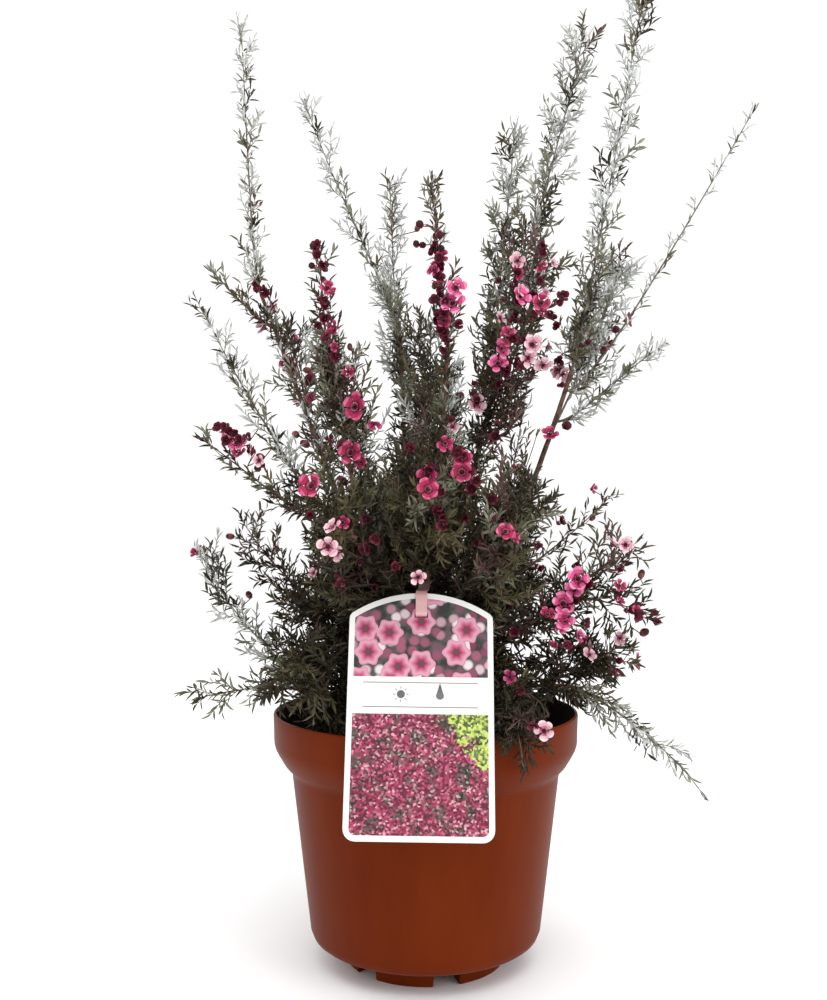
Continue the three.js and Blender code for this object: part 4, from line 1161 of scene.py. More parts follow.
def on_sight_line(column, row, y):
    """The point at a depth that shows at a column and row."""
    scale = (y - CAMERA_PLACE[1]) / FOCAL_PIXELS
    return np.array([
        CAMERA_PLACE[0] + (column - PICTURE_WIDTH / 2) * scale, y,
        CAMERA_PLACE[2] - (row - HORIZON_ROW) * scale,
    ])


# %% Flowers on their lines of sight
# How far from a flower's place in the picture its twig may be, in pixels
REACH_IN_PICTURE = 9.0
# A twig this much out of reach is only taken when there is no other
OUT_OF_REACH = 1000
# A flower stands this far in front of its twig, in millimetres
STAND_OFF = 5.0
BUD_STAND_OFF = 2.5
# The widest flowers of the picture are in front and face the camera. Values for the other flowers
# come first and those for the wide ones second
WIDE_FLOWER = 11
DEPTH_WEIGHT = (0.15, 0.6)
TURN_OUT = (0.45, 0.12)
TURN_SCATTER = (0.42, 0.2)
TOWARDS_CAMERA = np.array([0, -0.75, 0.15])
FLOWER_SEED = 41

columns, rows_seen = in_picture(candidates)
rng = np.random.default_rng(FLOWER_SEED)
for first, last, count, scatter in SPIKES:
    for share in np.linspace(0, 1, count):
        on_line = np.array(first) * (1 - share) + np.array(last) * share
        column, row = on_line + rng.normal(0, scatter * SPREAD_SHARE, 2)
        kind = SPIKE_KINDS[rng.choice(len(SPIKE_KINDS), p=SPIKE_SHARES)]
        width = rng.uniform(*(SPIKE_BUD_WIDTHS if kind == "bud" else SPIKE_WIDTHS))
        SEEN[kind].append((column, row, width))
flowers = []
for kind, seen in SEEN.items():
    stand_off = BUD_STAND_OFF if kind == "bud" else STAND_OFF
    for column, row, width in seen:
        wide = width > WIDE_FLOWER
        off = np.hypot(columns - column, rows_seen - row)
        cost = off + DEPTH_WEIGHT[wide] * candidates[:, 1]
        cost += OUT_OF_REACH * (off > max(REACH_IN_PICTURE, off.min() + 1))
        root = candidates[np.argmin(cost)]
        centre = on_sight_line(column, row, root[1] - stand_off)
        out = unit(np.array([root[0], root[1], 0]))
        swing = TURN_OUT[wide] * out + TURN_SCATTER[wide] * rng.normal(0, 1, 3)
        flowers.append((kind, root, centre, unit(TOWARDS_CAMERA + swing), width))
print("flowers and buds that show from the front:", len(flowers))

# %% [markdown]
# ## Flowers of the sides and the back
# The plant flowers all round, so tips of shoots at the sides and the back carry some as well. They
# keep to the height where the front has flowers, and look outwards and up.

# %% Flowers out of sight
BACK_FLOWERS = 46
BACK_KINDS = ("pink", "magenta", "pale", "deep", "bud")
BACK_SHARES = (0.25, 0.3, 0.15, 0.15, 0.15)
BACK_BUD_WIDTHS = (5, 6.5)
BACK_WIDTHS = (10, 14.5)
# Tips in this box, across, in depth and up, that are this far out of the axis may flower
BACK_BOX = ((-250, 250), (-10, 104), (SOIL_LEVEL + 15, 385))
BACK_OUT = 60
BACK_STAND_OFF = 3
# They look out from a line this far in front of the axis, and this much upwards
LOOK_BACK = 15
LOOK_UP = 25.0
BACK_SCATTER = 0.3
tips = along_shoots(shoots, np.ones(len(shoots[0])))[0]
behind = in_box(tips.T, BACK_BOX) & (np.hypot(tips[:, 0], tips[:, 1]) > BACK_OUT)
for number in rng.choice(np.flatnonzero(behind), BACK_FLOWERS, replace=False):
    root = tips[number]
    out = unit(np.array([root[0], root[1] + LOOK_BACK, LOOK_UP]))
    kind = BACK_KINDS[rng.choice(len(BACK_KINDS), p=BACK_SHARES)]
    width = rng.uniform(*(BACK_BUD_WIDTHS if kind == "bud" else BACK_WIDTHS))
    facing = unit(out + BACK_SCATTER * rng.normal(0, 1, 3))
    flowers.append((kind, root, root + out * BACK_STAND_OFF, facing, width))
print("flowers and buds:", len(flowers))

# %% [markdown]
# ## Petals and cups
# A petal is thin and velvety: it scatters light softly, with no gleam. The cup is the darkest part
# and gives each flower an eye, ringed by thin pale stamens. The calyx is smooth and firm, so it
# gleams a little. Each kind of flower takes its hues from four colours, so that an old pale flower
# and a young deep one stay apart at a distance. A painted image could show the veins of a petal,
# but from a step away the eye sees only its hue and its dark centre.

# %% Flowers of each kind
# A stalk ends this far under its flower's middle, as a share of the flower's width
STALK_BELOW = 0.16
# Hardly any flower or stalk points exactly this way, so a side square to both can be found
FLOWER_UP = UP + 0.02
# Dark shade, main shade, edge and throat of the petals
petal_looks = {
    "pink": ("#bc3a70", "#cc5a89", "#e3a0bb", "#780f38"),
    "magenta": ("#8c153d", "#a52a55", "#cf6f93", "#4a0820"),
    "pale": ("#c4899a", "#d4a9b3", "#e6d2d3", "#85344e"),
    "deep": ("#400c1a", "#5c172a", "#7f3345", "#26070f"),
    "bud": ("#2e0a13", "#4a1220", "#551d28", "#2a0c14"),
}
cup_look = mottled("velvet_cup_maroon", "#2a0912", "#4a0f1e", 2.0, 0.6, specular=0.2)
calyx_look = mottled("smooth_calyx_red_brown", "#4a1d1c", "#73352f", 3.0, 0.55)
stamen_look = mottled("stamen_rose", "#8e3350", "#d08a99", 2.0, 0.6)

flower_pieces = []
stalks = []
for kind, (dark, middle, edge, throat) in petal_looks.items():
    petal_look = mottled("velvet_petal_" + kind, dark, middle, 3.0, 0.6, specular=0.2)
    edge_look = mottled("velvet_petal_edge_" + kind, middle, edge, 3.0, 0.6, specular=0.2)
    throat_look = mottled("velvet_throat_" + kind, throat, dark, 2.0, 0.6, specular=0.2)
    own = [flower for flower in flowers if flower[0] == kind]
    root, centre, facing = [np.array([flower[part] for flower in own]) for part in (1, 2, 3)]
    width = np.array([[flower[4]] for flower in own])
    spin = np.radians(rng.uniform(0, 360, len(own)))[:, None]
    side, lift = turned(*squared(facing, FLOWER_UP), spin)
    axes = [side * (width / 2), lift * (width / 2), facing * (width / 2)]
    shapes = {"deep": cupped_blossoms, "bud": [bud]}.get(kind, open_blossoms)
    parts = []
    for turn, shape in enumerate(shapes):
        some = slice(turn, None, len(shapes))
        parts.append(copies(shape, centre[some], *[axis[some] for axis in axes]))
    looks = [petal_look, throat_look, cup_look, calyx_look, stamen_look, edge_look]
    name = "buds" if kind == "bud" else "blossoms_" + kind
    flower_pieces.append(joined(name, parts, looks))
    base = centre - facing * width * (0.0 if kind == "bud" else STALK_BELOW)
    stalks.append((root, base))

roots, bases = [np.concatenate(ends) for ends in zip(*stalks)]
spans = bases - roots
side, lift = squared(unit(spans), FLOWER_UP)
stalk_part = copies(unit_tube(1, 4), roots, side * SHOOT_RADIUS, lift * SHOOT_RADIUS, spans)
stalk_piece = joined("flower_stalks", [stalk_part], [calyx_look])

# %% [markdown]
# ## Leaves around the flowers
# A flower opens where there is light, so leaves that would cover one are left out. Then each kind
# of leaf is made, in pieces small enough for the export.

# %% All leaves
LEAVES_PER_PIECE = 20000
# A leaf is left out when its middle is this far ahead of a flower, in millimetres, and no further
# beside its axis than this share of its width
AHEAD_OF_FLOWER = (-1.5, 26)
COVERED_SHARE = 0.55
LEAF_MIDDLE = 0.6
leaf_starts, leaf_directions, leaf_lengths, _, leaf_kinds = leaves
middles = leaf_starts + leaf_directions * (leaf_lengths * LEAF_MIDDLE)[:, None]
covered = np.zeros(len(middles), bool)
for *_, centre, facing, width in flowers:
    from_centre = middles - centre
    ahead = from_centre @ facing
    beside = np.linalg.norm(from_centre - ahead[:, None] * facing, axis=1)
    near = (ahead > AHEAD_OF_FLOWER[0]) & (ahead < AHEAD_OF_FLOWER[1])
    covered |= near & (beside < COVERED_SHARE * width)
print("leaves that would cover a flower:", int(covered.sum()))

leaf_pieces = []
rng = np.random.default_rng(LEAF_SEED)
for number, kind in enumerate(LEAF_KINDS):
    own = np.flatnonzero((leaf_kinds == number) & ~covered)
    for part_number, part in enumerate(np.array_split(own, len(own) // LEAVES_PER_PIECE + 1)):
        frames = leaf_frames(*[values[part] for values in leaves[:4]], rng)
        shape = copies(leaf_shape, leaf_starts[part], *frames)
        leaf_pieces.append(joined(f"leaves_{kind}_{part_number + 1}", [shape], [LEAF_LOOKS[kind]]))

# %% What the pieces of the plant are to the part
wooden_pieces = [brown_twigs, silver_twigs, bark, stalk_piece]
for piece in leaf_pieces + flower_pieces + wooden_pieces:
    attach(piece, "root")
for piece in leaf_pieces:
    kind = piece.name.split("_")[1]
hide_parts("trunk", *[limb["name"] for limb in limbs])
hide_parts(*[mass["name"] for mass in masses if mass["tint"] != "silver"])
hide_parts(*[mass["name"] for mass in masses if mass["tint"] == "silver"])
print("pieces of the plant:", len(leaf_pieces + flower_pieces + wooden_pieces))

# %% [markdown]
# ## The pot
# The pot is moulded of thin polypropylene. A profile is spun for the outside and another for the
# hollow. Six channels run out under the floor, so the foot stands as six separate pads. They are
# cut out of the spun solid with box cutters, which keeps their edges crisp and the wall even.

# %% The pot's shape
POT_WALL = 1.4
POT_STEPS = 144
CHANNELS = 6
CHANNEL_WIDTH = 15.0
CHANNEL_START = 27.0
CHANNEL_HEADING = -76.0
BASE_HEIGHT = 11.5
# Cutters go on this far below the floor
CUT_BELOW = 10
# Edges sharper than this stay crisp in the shading
SHARP_FROM = 32


def pot_profile(inset, rise):
    """Radius and height along the pot's side, moved in by inset and up by rise."""
    rows = [
        (0, 0), (45.2, 0), (46, 0.8), (47.3, 10.6), (48.2, 11.5), (58.6, 11.5), (59.5, 12), (62.5, 13.2),
        (65, 15.2), (66.5, 19), (77.1, 107), (77.5, 109), (78.4, 110.4), (80.4, 112.4), (81.8, 114),
        (85.0, 119.4), (86.6, 122.4), (87.4, 125), (87.6, 127),
    ]
    top = rows[-1][1]
    return [(max(0, radius - inset), height + rise * (1 - height / top)) for radius, height in rows]


def spun(profile, name):
    """A closed solid of revolution from a profile in millimetres."""
    bm = bmesh.new()
    points = [bm.verts.new((radius, 0, height)) for radius, height in profile]
    edges = [bm.edges.new(pair) for pair in zip(points, points[1:])]
    bmesh.ops.spin(bm, geom=points + edges, cent=(0, 0, 0), axis=(0, 0, 1), angle=math.tau,
                   steps=POT_STEPS, use_merge=True)
    bmesh.ops.remove_doubles(bm, verts=bm.verts, dist=0.01)
    bmesh.ops.recalc_face_normals(bm, faces=bm.faces)
    return piece_from(name, *shape_of(bm), [])


def channel_cutters(growth, name):
    """The six channels as one shape, grown by the wall where they shape the hollow."""
    bm = bmesh.new()
    length = RIM_RADIUS - CHANNEL_START + growth
    height = BASE_HEIGHT + growth + CUT_BELOW
    size = Matrix.Diagonal((length, CHANNEL_WIDTH + 2 * growth, height, 1))
    middle = (CHANNEL_START - growth + length / 2, 0, BASE_HEIGHT + growth - height / 2)
    for number in range(CHANNELS):
        heading = math.radians(CHANNEL_HEADING + number * 360 / CHANNELS)
        turn = Matrix.Rotation(heading, 4, "Z")
        bmesh.ops.create_cube(bm, size=1, matrix=turn @ Matrix.Translation(middle) @ size)
    return piece_from(name, *shape_of(bm), [], smooth=False)


def cut(body, *cutters):
    """Cuts each cutter out of the body, and removes the cutters."""
    for cutter in cutters:
        modifier = body.modifiers.new("cut", "BOOLEAN")
        modifier.operation = "DIFFERENCE"
        modifier.solver = "EXACT"
        modifier.object = cutter
    bpy.context.view_layer.update()
    finished = bpy.data.meshes.new_from_object(body.evaluated_get(bpy.context.evaluated_depsgraph_get()))
    body.modifiers.clear()
    body.data = finished
    for cutter in cutters:
        bpy.data.objects.remove(cutter)


rim_outside = [(87.75, 134), (88.0, 141.4), (87.8, 142.2), (87.3, 142.6), (86.9, 142.6), (0, 142.6)]
rim_inside = [(86.3, 134), (86.45, 143.5), (0, 143.5)]
pot = spun(pot_profile(0, 0) + rim_outside, "pot_outside")
hollow = spun(pot_profile(POT_WALL, POT_WALL) + rim_inside, "hollow")
cut(hollow, channel_cutters(POT_WALL, "channels_inside"))
cut(pot, channel_cutters(0, "channels"), hollow)
pot.name = "pot_moulded"
for polygon in pot.data.polygons:
    polygon.use_smooth = True
pot.data.set_sharp_from_angle(angle=math.radians(SHARP_FROM))
print("pot has", len(pot.data.polygons), "faces")

# %% [markdown]
# ## The pot's plastic
# Moulded polypropylene has a satin skin: a soft broad gleam at its edges, fine grain from the
# mould, and a little dust that dulls it unevenly. Two noises on the object coordinates give both, with
# no seam. The inside of the collar is painted dark and dull, as painted shade for the shade that
# falls in the pot's mouth.

# %% Moulded polypropylene
# Streaks are this wide, in millimetres, and four times as tall
STREAK_WIDTH = 22.22
# Grain and relief are coarser than the mould's own, or they would not show
GRAIN_SIZE = 0.7143
GRAIN_DEPTH = 0.06
polypropylene, tree, shader, here = new_material("moulded_polypropylene_terracotta")
streak_place = add_node(tree, "Mapping", {"Scale": (1.0, 1.0, 0.25)}, {"Vector": here})
streaks = add_node(tree, "TexNoise", {"Scale": 1 / (STREAK_WIDTH * MM), "Detail": 5.0, "Roughness": 0.6},
                   {"Vector": streak_place})
shades = add_node(tree, "ValToRGB", {"stops": [(0.3, "#5d1e03"), (0.7, "#672606")]}, {"Fac": streaks})
gleam = add_node(tree, "MapRange", {"To Min": 0.36, "To Max": 0.5}, {"Value": streaks})
grain = add_node(tree, "TexNoise", {"Scale": 1 / (GRAIN_SIZE * MM), "Detail": 2.0}, {"Vector": here})
bump = add_node(tree, "Bump", {"Distance": GRAIN_DEPTH * MM, "Strength": 0.5}, {"Height": grain})
set_up(shader, {"IOR": 1.49, "Specular IOR Level": 0.05},
       {"Base Color": shades, "Roughness": gleam, "Normal": bump})
# Painted shade: the inside of the collar is drawn almost black, for the shade in the pot's mouth
painted_collar_shade = mottled("peat_dust_on_polypropylene", "#150e0a", "#2b1911", 9.0, 0.9, specular=0.1)
for material in (polypropylene, painted_collar_shade):
    pot.data.materials.append(material)

# The painted shade lies on faces that look at the axis, from under the soil up to the rim
COLLAR_SHADE_FROM = SOIL_LEVEL - 15
COLLAR_SHADE_TO = POT_HEIGHT - 1.2
for polygon in pot.data.polygons:
    centre = polygon.center / MM
    faces_axis = centre.x * polygon.normal.x + centre.y * polygon.normal.y < 0
    polygon.material_index = int(faces_axis and COLLAR_SHADE_FROM < centre.z < COLLAR_SHADE_TO)
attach(pot, "root")
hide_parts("pot")
print("faces with painted shade:", sum(polygon.material_index for polygon in pot.data.polygons))

# %% [markdown]
# ## The potting mix
# Peat and fine bark fill the pot to 15 mm below its rim. The ground is a spun disc whose points are
# lifted by noise, and 1400 crumbs lie on it, because bump alone would leave its outline flat.

# %% Ground
SOIL_RADIUS = 85.0
SOIL_RINGS = 34
# The mound falls this much to its edge, and its lumps lie a little under it
SOIL_DROP = 3.0
LUMPS_BELOW = 1.2
# Width and height of the large and the small lumps
LARGE_LUMPS = (16, 2.2)
SMALL_LUMPS = (5, 1.1)
LUMPS_FADE = 4
SOIL_FLOOR = 112
FLOOR_RADIUS = 79
# Points of the disc above this height belong to the mound
MOUND_FROM = 118
ring_radii = np.linspace(0, SOIL_RADIUS, SOIL_RINGS)
mound = [(radius, SOIL_LEVEL - SOIL_DROP * (radius / SOIL_RADIUS) ** 2) for radius in ring_radii]
ground = spun([(0, SOIL_FLOOR), (FLOOR_RADIUS, SOIL_FLOOR)] + mound[::-1], "potting_mix")


def soil_height(x, y):
    """The height of the lumpy ground at a place, in millimetres."""
    base = SOIL_LEVEL - SOIL_DROP * (x * x + y * y) / SOIL_RADIUS ** 2
    (wide, high), (narrow, low) = LARGE_LUMPS, SMALL_LUMPS
    lumps = noise.noise(Vector((x / wide, y / wide, 3.0))) * high
    lumps += noise.noise(Vector((x / narrow, y / narrow, 7.0))) * low
    edge = min(1, max(0, (SOIL_RADIUS - math.hypot(x, y)) / LUMPS_FADE))
    return base + lumps * edge - LUMPS_BELOW


for vertex in ground.data.vertices:
    x, y, z = vertex.co / MM
    if z > MOUND_FROM:
        vertex.co.z = soil_height(x, y) * MM
# Damp peat is almost black and quite matt
peat = mottled("sifted_peat", "#150f0c", "#33261d", 5.0, 0.95, bump_mm=0.8, specular=0.15)
ground.data.materials.append(peat)

# %% Crumbs
CRUMBS = 1400
CRUMB_SEED = 17
CRUMB_RADII = (0.7, 2.6)
# A power over 1 spreads the sizes further apart
CRUMB_POWER = 1.2
# A crumb is an uneven ball, narrower and lower than it is long, that stands out of the ground
CRUMB_UNEVEN = (0.7, 1.15)
CRUMB_BREADTH = 0.7
CRUMB_HEIGHT = 0.8
CRUMB_LIFT = 0.3
CRUMBS_FROM_EDGE = 3
CRUMB_UP = UP + 0.3
INNERMOST = 0.01
rng = np.random.default_rng(CRUMB_SEED)
bm = bmesh.new()
bmesh.ops.create_icosphere(bm, subdivisions=1, radius=1)
for vertex in bm.verts:
    vertex.co *= rng.uniform(*CRUMB_UNEVEN)
crumb = shape_of(bm)
out = np.sqrt(rng.uniform(INNERMOST, 1, CRUMBS)) * (SOIL_RADIUS - CRUMBS_FROM_EDGE)
turn = rng.uniform(0, math.tau, CRUMBS)
size = rng.uniform(*CRUMB_RADII, (CRUMBS, 1)) ** CRUMB_POWER
spots = np.stack([out * np.cos(turn), out * np.sin(turn)], axis=1)
heights = np.array([soil_height(x, y) for x, y in spots])
spots = np.column_stack([spots, heights + CRUMB_LIFT])
side = unit(rng.normal(0, 1, (CRUMBS, 3)))
side, lift = squared(side, CRUMB_UP)
third = np.cross(side, lift) * size * CRUMB_HEIGHT
crumbs = copies(crumb, spots, side * size, lift * size * CRUMB_BREADTH, third)
# Crumbs are drier and paler than the ground, so they stand out from it
crumb_look = mottled("sifted_peat_crumb", "#1d1511", "#4a382b", 7.0, 0.95, bump_mm=0.3, specular=0.15)
crumb_piece = joined("peat_crumbs", [crumbs], [crumb_look], smooth=False)
for piece in (ground, crumb_piece):
    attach(piece, "root")
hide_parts("soil")

# %% [markdown]
# ## Light and floor
# A white studio: the world gives light from all sides, and three large soft lights shape the pot.
# Small lights would draw hard shadows of each leaf.

# %% Floor, world and lights
FLOOR_HALF = 60000
# What the lights look at, in metres
MIDDLE_OF_PLANT = Vector((0, 0, 0.25))
scene = bpy.context.scene
scene.view_settings.view_transform = "Standard"
# A paper backdrop is matt, and so pale that only shadows show on it
backdrop = mottled("matt_white_backdrop", "#f4f4f4", "#f8f8f8", 400.0, 0.9, specular=0.1)
bm = bmesh.new()
bmesh.ops.create_grid(bm, x_segments=8, y_segments=8, size=FLOOR_HALF)
floor = piece_from("floor", *shape_of(bm), [backdrop])
floor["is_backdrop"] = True

world = bpy.data.worlds.new("studio")
world.use_nodes = True
set_up(world.node_tree.nodes["Background"], {"Color": (1, 1, 1, 1), "Strength": 1.1})
scene.world = world


def soft_light(name, place_m, size_m, power):
    """A square area light that looks at the middle of the plant."""
    data = bpy.data.lights.new(name, "AREA")
    data.size = size_m
    data.energy = power
    light = bpy.data.objects.new(name, data)
    light.location = place_m
    light.rotation_euler = (MIDDLE_OF_PLANT - Vector(place_m)).to_track_quat("-Z", "Y").to_euler()
    scene.collection.objects.link(light)
    print(name, "light:", power, "W")


soft_light("overhead", (0.2, -0.9, 1.9), 1.4, 16)
soft_light("right_front", (1.5, -1.2, 0.9), 1.0, 10)
soft_light("left_back", (-1.4, 0.9, 1.2), 1.0, 5)

# %% [markdown]
# ## The label
# The label is a card of white polystyrene, printed on its front. Its outline is one polygon that is
# inset for the white border and cut across into an upper picture, a plain band and a lower picture.
# So the prints end at true edges of the mesh. One texture with a mask could do it too, but its
# edges would blur close up.

# %% The card's shape
CARD_ARCH = 12.0
CARD_CORNER = 6.0
CARD_BORDER = 2.9
SLOT_SIZE = (7.0, 2.2)
SLOT_BELOW_TOP = 11.0
BAND_FOOT = 62.5
BAND_TOP = 81.5
# The arch ends a little inside the card's sides, and two short straight steps lead to it
ARCH_INSET = 1.2
ARCH_STEPS = 25
SHOULDER_STEPS = ((0, 2.5), (0.2, 0.7))


def arc(middle, radius, first, last, steps=6):
    """Places on an arc between two headings in degrees."""
    headings = np.radians(np.linspace(first, last, steps))
    return [(middle[0] + radius * math.cos(h), middle[1] + radius * math.sin(h)) for h in headings]


half = CARD_WIDTH / 2
shoulder = CARD_LENGTH - CARD_ARCH
lower_right = arc((half - CARD_CORNER, CARD_CORNER), CARD_CORNER, -90, 0)
arch_radius = (half ** 2 + CARD_ARCH ** 2) / (2 * CARD_ARCH)
arch_end = math.degrees(math.asin((half - ARCH_INSET) / arch_radius))
arch = arc((0, CARD_LENGTH - arch_radius), arch_radius, 90 - arch_end, 90 + arch_end, ARCH_STEPS)
lower_left = arc((CARD_CORNER - half, CARD_CORNER), CARD_CORNER, 180, 270)
right_steps = [(half - inward, shoulder - below) for inward, below in SHOULDER_STEPS]
left_steps = [(inward - half, shoulder - below) for inward, below in SHOULDER_STEPS[::-1]]
outline = lower_right + right_steps + arch + left_steps + lower_left
print("corners of the outline:", len(outline))

# %% The card's parts
WHITE, LOWER_PICTURE, UPPER_PICTURE = range(3)
bm = bmesh.new()
blank = bm.faces.new([bm.verts.new((x, y, 0)) for x, y in outline])
bm.normal_update()
blank.material_index = LOWER_PICTURE
border = bmesh.ops.inset_individual(bm, faces=[blank], thickness=CARD_BORDER, use_even_offset=True)["faces"]
for face in border:
    face.material_index = WHITE
slot_top = CARD_LENGTH - SLOT_BELOW_TOP
slot_foot = slot_top - SLOT_SIZE[1]
slot_side = SLOT_SIZE[0] / 2
cuts = [((0, height, 0), (0, 1, 0)) for height in (BAND_FOOT, BAND_TOP, slot_foot, slot_top)]
cuts += [((across, 0, 0), (1, 0, 0)) for across in (-slot_side, slot_side)]
for place_of_cut, direction in cuts:
    whole = bm.verts[:] + bm.edges[:] + bm.faces[:]
    bmesh.ops.bisect_plane(bm, geom=whole, plane_co=place_of_cut, plane_no=direction)
slot_faces = []
for face in bm.faces:
    middle = face.calc_center_median()
    if abs(middle.x) < slot_side and slot_foot < middle.y < slot_top:
        slot_faces.append(face)
    elif face.material_index == LOWER_PICTURE and BAND_FOOT < middle.y < BAND_TOP:
        face.material_index = WHITE
    elif face.material_index == LOWER_PICTURE and middle.y > BAND_TOP:
        face.material_index = UPPER_PICTURE
bmesh.ops.delete(bm, geom=slot_faces, context="FACES")
print("faces of the flat card:", len(bm.faces))

# %% The card's thickness and place
front = set(extruded(bm, bm.faces[:], (0, 0, CARD_THICKNESS)))
print_map = bm.loops.layers.uv.new("print")
for face in bm.faces:
    if face not in front:
        face.material_index = WHITE
    for loop in face.loops:
        loop[print_map].uv = (loop.vert.co.x / CARD_LENGTH, loop.vert.co.y / CARD_LENGTH)
bmesh.ops.recalc_face_normals(bm, faces=bm.faces)
to_metres = Matrix.Diagonal((MM, MM, MM, 1))
bmesh.ops.transform(bm, matrix=to_metres @ Matrix(CARD_PLACE.tolist()), verts=bm.verts)
card_mesh = bpy.data.meshes.new("label_card_printed")
bm.to_mesh(card_mesh)
bm.free()
card = bpy.data.objects.new("label_card_printed", card_mesh)
scene.collection.objects.link(card)
print("faces of the card:", len(card_mesh.polygons))

# %% [markdown]
# ## The card's print
# Polystyrene sheet is smooth and a little glossy, and its print lies in the surface. The pictures
# are plain patterns of a shrub's colours: rosettes on a dark ground, and drifts of stippled
# heather. They are worked out by nodes on the card's own UV map, so they stay sharp at any size,
# which a painted image would not.

# %% A printed sheet
card_white = mottled("polystyrene_sheet_white", "#dcdbd6", "#e4e3df", 30.0, 0.35)


def printed(name):
    """A printed sheet's material, tree and shader, and the print's places in millimetres."""
    material, tree, shader, _ = new_material(name)
    set_up(shader, {"Roughness": 0.32, "Specular IOR Level": 0.25})
    print_place = add_node(tree, "UVMap", {"uv_map": "print"})
    in_mm = add_node(tree, "Mapping", {"Scale": (CARD_LENGTH, CARD_LENGTH, 1)}, {"Vector": print_place})
    return material, tree, shader, in_mm


# %% Upper picture
# Large rosettes with six lobes, over small soft dots on a dark ground. Sizes are in millimetres
ROSETTE = 17.0
LOBES = 6.0
LOBE_DEPTH = 0.11
DOT = 6.5
HAZE = 8.333
upper_print, tree, shader, in_mm = printed("offset_print_rosettes")
in_print = {"Vector": in_mm}
cells = add_node(tree, "TexVoronoi", {"voronoi_dimensions": "2D", "Scale": 1 / ROSETTE, "Randomness": 0.7},
                 in_print)
from_middle = add_node(tree, "VectorMath", {"operation": "SUBTRACT"},
                       {0: in_mm, 1: cells.outputs["Position"]})
parts = add_node(tree, "SeparateXYZ", None, {"Vector": from_middle})
angle = add_node(tree, "Math", {"operation": "ARCTAN2"}, {0: parts.outputs["Y"], 1: parts.outputs["X"]})
lobes = add_node(tree, "Math", {"operation": "MULTIPLY", 1: LOBES}, {0: angle})
wave = add_node(tree, "Math", {"operation": "COSINE"}, {0: lobes})
swell = add_node(tree, "Math", {"operation": "MULTIPLY_ADD", 1: -LOBE_DEPTH, 2: 1.0}, {0: wave})
reach = add_node(tree, "Math", {"operation": "MULTIPLY"}, {0: cells, 1: swell})
flower = add_node(tree, "ValToRGB", {"stops": [
    (0.05, "#4a4a40"), (0.09, "#7a2244"), (0.17, "#ab4a6b"), (0.32, "#cc93a6"), (0.42, "#b7768c"),
]}, {"Fac": reach})
inside = add_node(tree, "Math", {"operation": "LESS_THAN", 1: 0.40}, {0: reach})
haze = add_node(tree, "TexNoise", {"Scale": 1 / HAZE, "Detail": 3.0}, in_print)
ground_tone = add_node(tree, "ValToRGB", {"stops": [
    (0.42, "#2a2f2a"), (0.52, "#4a4846"), (0.64, "#6e4557"),
]}, {"Fac": haze})
dots = add_node(tree, "TexVoronoi", {"voronoi_dimensions": "2D", "Scale": 1 / DOT}, in_print)
dot_tone = add_node(tree, "SeparateColor", None, {"Color": dots.outputs["Color"]})
dot_look = add_node(tree, "ValToRGB", {"stops": [
    (0.0, "#6c3048"), (0.5, "#94546a"), (0.75, "#d0c5c6"),
]}, {"Fac": dot_tone})
dot_share = add_node(tree, "MapRange", {"From Min": 0.48, "From Max": 0.28}, {"Value": dots})
# On a Mix node of colours, input 0 is the share, 6 and 7 are the colours, and output 2 is the result
colours = {"data_type": "RGBA"}
behind = add_node(tree, "Mix", colours, {0: dot_share, 6: ground_tone, 7: dot_look})
picture = add_node(tree, "Mix", colours, {0: inside, 6: behind.outputs[2], 7: flower})
set_up(shader, links={"Base Color": picture.outputs[2]})
print("nodes of the upper picture:", len(tree.nodes))

# %% Lower picture
# Heather in drifts, stippled by small cells, with a ragged lime drift above
STIPPLE = 1.05
DRIFT = 9.09
DRIFT_SLANT = 0.9
RAGGED = 60.0
LIME_FROM = 98.0
LIME_TO = 101.0
lower_print, tree, shader, in_mm = printed("offset_print_heather")
in_print = {"Vector": in_mm}
dots = add_node(tree, "TexVoronoi", {"voronoi_dimensions": "2D", "Scale": 1 / STIPPLE}, in_print)
dot_tone = add_node(tree, "SeparateColor", None, {"Color": dots.outputs["Color"]})
heather, shade, lime = [add_node(tree, "ValToRGB", {"stops": stops}, {"Fac": dot_tone}) for stops in (
    [(0.0, "#352729"), (0.25, "#68213a"), (0.6, "#963653"), (0.85, "#ab5a6f"), (1.0, "#c9a2a8")],
    [(0.0, "#24241f"), (0.45, "#4c4a42"), (0.8, "#7b4a58"), (1.0, "#a39b8e")],
    [(0.0, "#3c4a2c"), (0.35, "#6f7a4c"), (0.6, "#a3b650"), (1.0, "#c4d478")],
)]
drift = add_node(tree, "TexNoise", {"Scale": 1 / DRIFT, "Detail": 4.0, "Roughness": 0.6}, in_print)
shadow = add_node(tree, "MapRange", {"From Min": 0.50, "From Max": 0.40}, {"Value": drift})
parts = add_node(tree, "SeparateXYZ", None, in_print)
slant = add_node(tree, "Math", {"operation": "MULTIPLY_ADD", 1: DRIFT_SLANT},
                 {0: parts.outputs["X"], 2: parts.outputs["Y"]})
ragged = add_node(tree, "Math", {"operation": "MULTIPLY_ADD", 1: RAGGED}, {0: drift, 2: slant})
upland = add_node(tree, "MapRange", {"From Min": LIME_FROM, "From Max": LIME_TO}, {"Value": ragged})
shaded = add_node(tree, "Mix", colours, {0: shadow, 6: heather, 7: shade})
picture = add_node(tree, "Mix", colours, {0: upland, 6: shaded.outputs[2], 7: lime})
set_up(shader, links={"Base Color": picture.outputs[2]})
print("nodes of the lower picture:", len(tree.nodes))
for material in (card_white, lower_print, upper_print):
    card_mesh.materials.append(material)
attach(card, "root")
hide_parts("label_card")

# %% [markdown]
# ## Signs on the card
# The plain band has a sun and a drop, the usual signs for care, between two thin rules. They are
# flat shapes just thick enough to lie over the card's face, so their edges are crisp at any size.

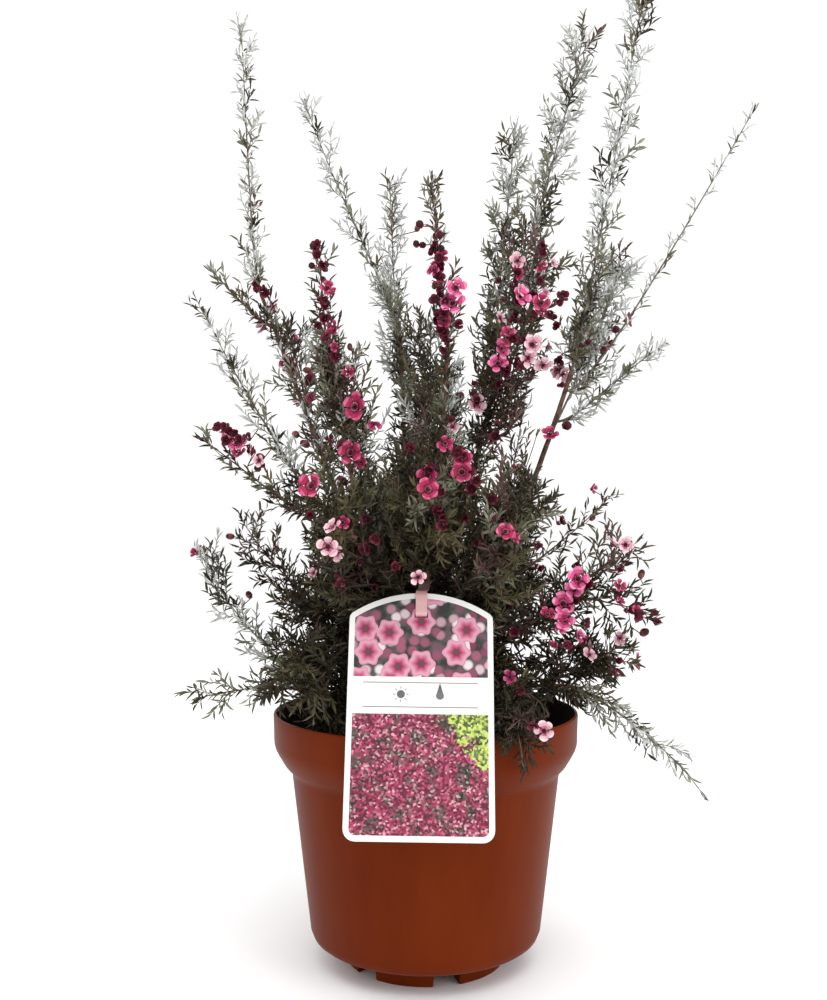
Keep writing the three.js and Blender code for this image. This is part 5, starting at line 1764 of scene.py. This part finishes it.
# %% Sun, drop and rules
SIGN_RADIUS = 2.1
SIGN_LIFT = 0.03
SUN = (-10, 72.5)
DROP = (10, 72)
RAYS = 8
# Length and width of a ray and of a rule
RAY = (1.3, 0.4)
RULE = (CARD_WIDTH - 16, 0.4)
RULE_HEIGHTS = (66, 78.5)
# The drop's upper half loses this share of its width, and is drawn out by this much
DROP_NARROWING = 0.5
DROP_STRETCH = 0.9
bm = bmesh.new()


def sign_place(across, along, turn=0.0):
    """A place on the card's face, turned in its plane."""
    return Matrix.Translation((across, along, CARD_THICKNESS)) @ Matrix.Rotation(turn, 4, "Z")


def add_bar(size, matrix):
    """A flat bar on the card's face, from its length and width."""
    matrix = matrix @ Matrix.Diagonal((*size, 1, 1))
    bmesh.ops.create_grid(bm, x_segments=1, y_segments=1, size=0.5, matrix=matrix)


bmesh.ops.create_circle(bm, cap_ends=True, segments=20, radius=SIGN_RADIUS, matrix=sign_place(*SUN))
for number in range(RAYS):
    turn = sign_place(*SUN, number * math.tau / RAYS)
    add_bar(RAY, turn @ Matrix.Translation((SIGN_RADIUS + RAY[0], 0, 0)))
drop = bmesh.ops.create_circle(bm, cap_ends=True, segments=20, radius=SIGN_RADIUS, matrix=sign_place(*DROP))
for vertex in drop["verts"]:
    above = max(0, vertex.co.y - DROP[1])
    vertex.co.x = DROP[0] + (vertex.co.x - DROP[0]) * (1 - DROP_NARROWING * above / SIGN_RADIUS)
    vertex.co.y += DROP_STRETCH * above ** 2
for along in RULE_HEIGHTS:
    add_bar(RULE, sign_place(0, along))
extruded(bm, bm.faces[:], (0, 0, SIGN_LIFT))
bmesh.ops.recalc_face_normals(bm, faces=bm.faces)
bmesh.ops.transform(bm, matrix=Matrix(CARD_PLACE.tolist()), verts=bm.verts)
# Screen ink lies on the card as a thin matt film
ink = mottled("screen_ink_grey", "#4b4b4b", "#626262", 6.0, 0.5)
signs = piece_from("label_signs", *shape_of(bm), [ink], smooth=False)
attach(signs, "root")

# %% [markdown]
# ## The strap
# The strap is the part's own mesh and only gets a material, because its form is simple and already
# true. It is soft vinyl, which lets some light through, so it looks milky where the light is
# behind it.

# %% Soft vinyl
vinyl = mottled("soft_vinyl_rose", "#d9a5a4", "#e3b4b2", 12.0, 0.4)
set_up(vinyl.node_tree.nodes["Principled BSDF"], {"Transmission Weight": 0.15})
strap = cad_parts["label_strap"]
for material_slot in strap.material_slots:
    material_slot.material = vinyl
print("material of", strap.name, "is", vinyl.name)

# %% [markdown]
# ## Size and finish
# The boxes of the finished model and of the imported part are both worked out and printed. The
# finished model has to stay close to the box of the imported part.

# %% Size and finish
visual_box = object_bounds()
size = {"cad": [list(corner) for corner in cad_box], "visual": [list(corner) for corner in visual_box]}
print("CAD and visual boxes:", size)
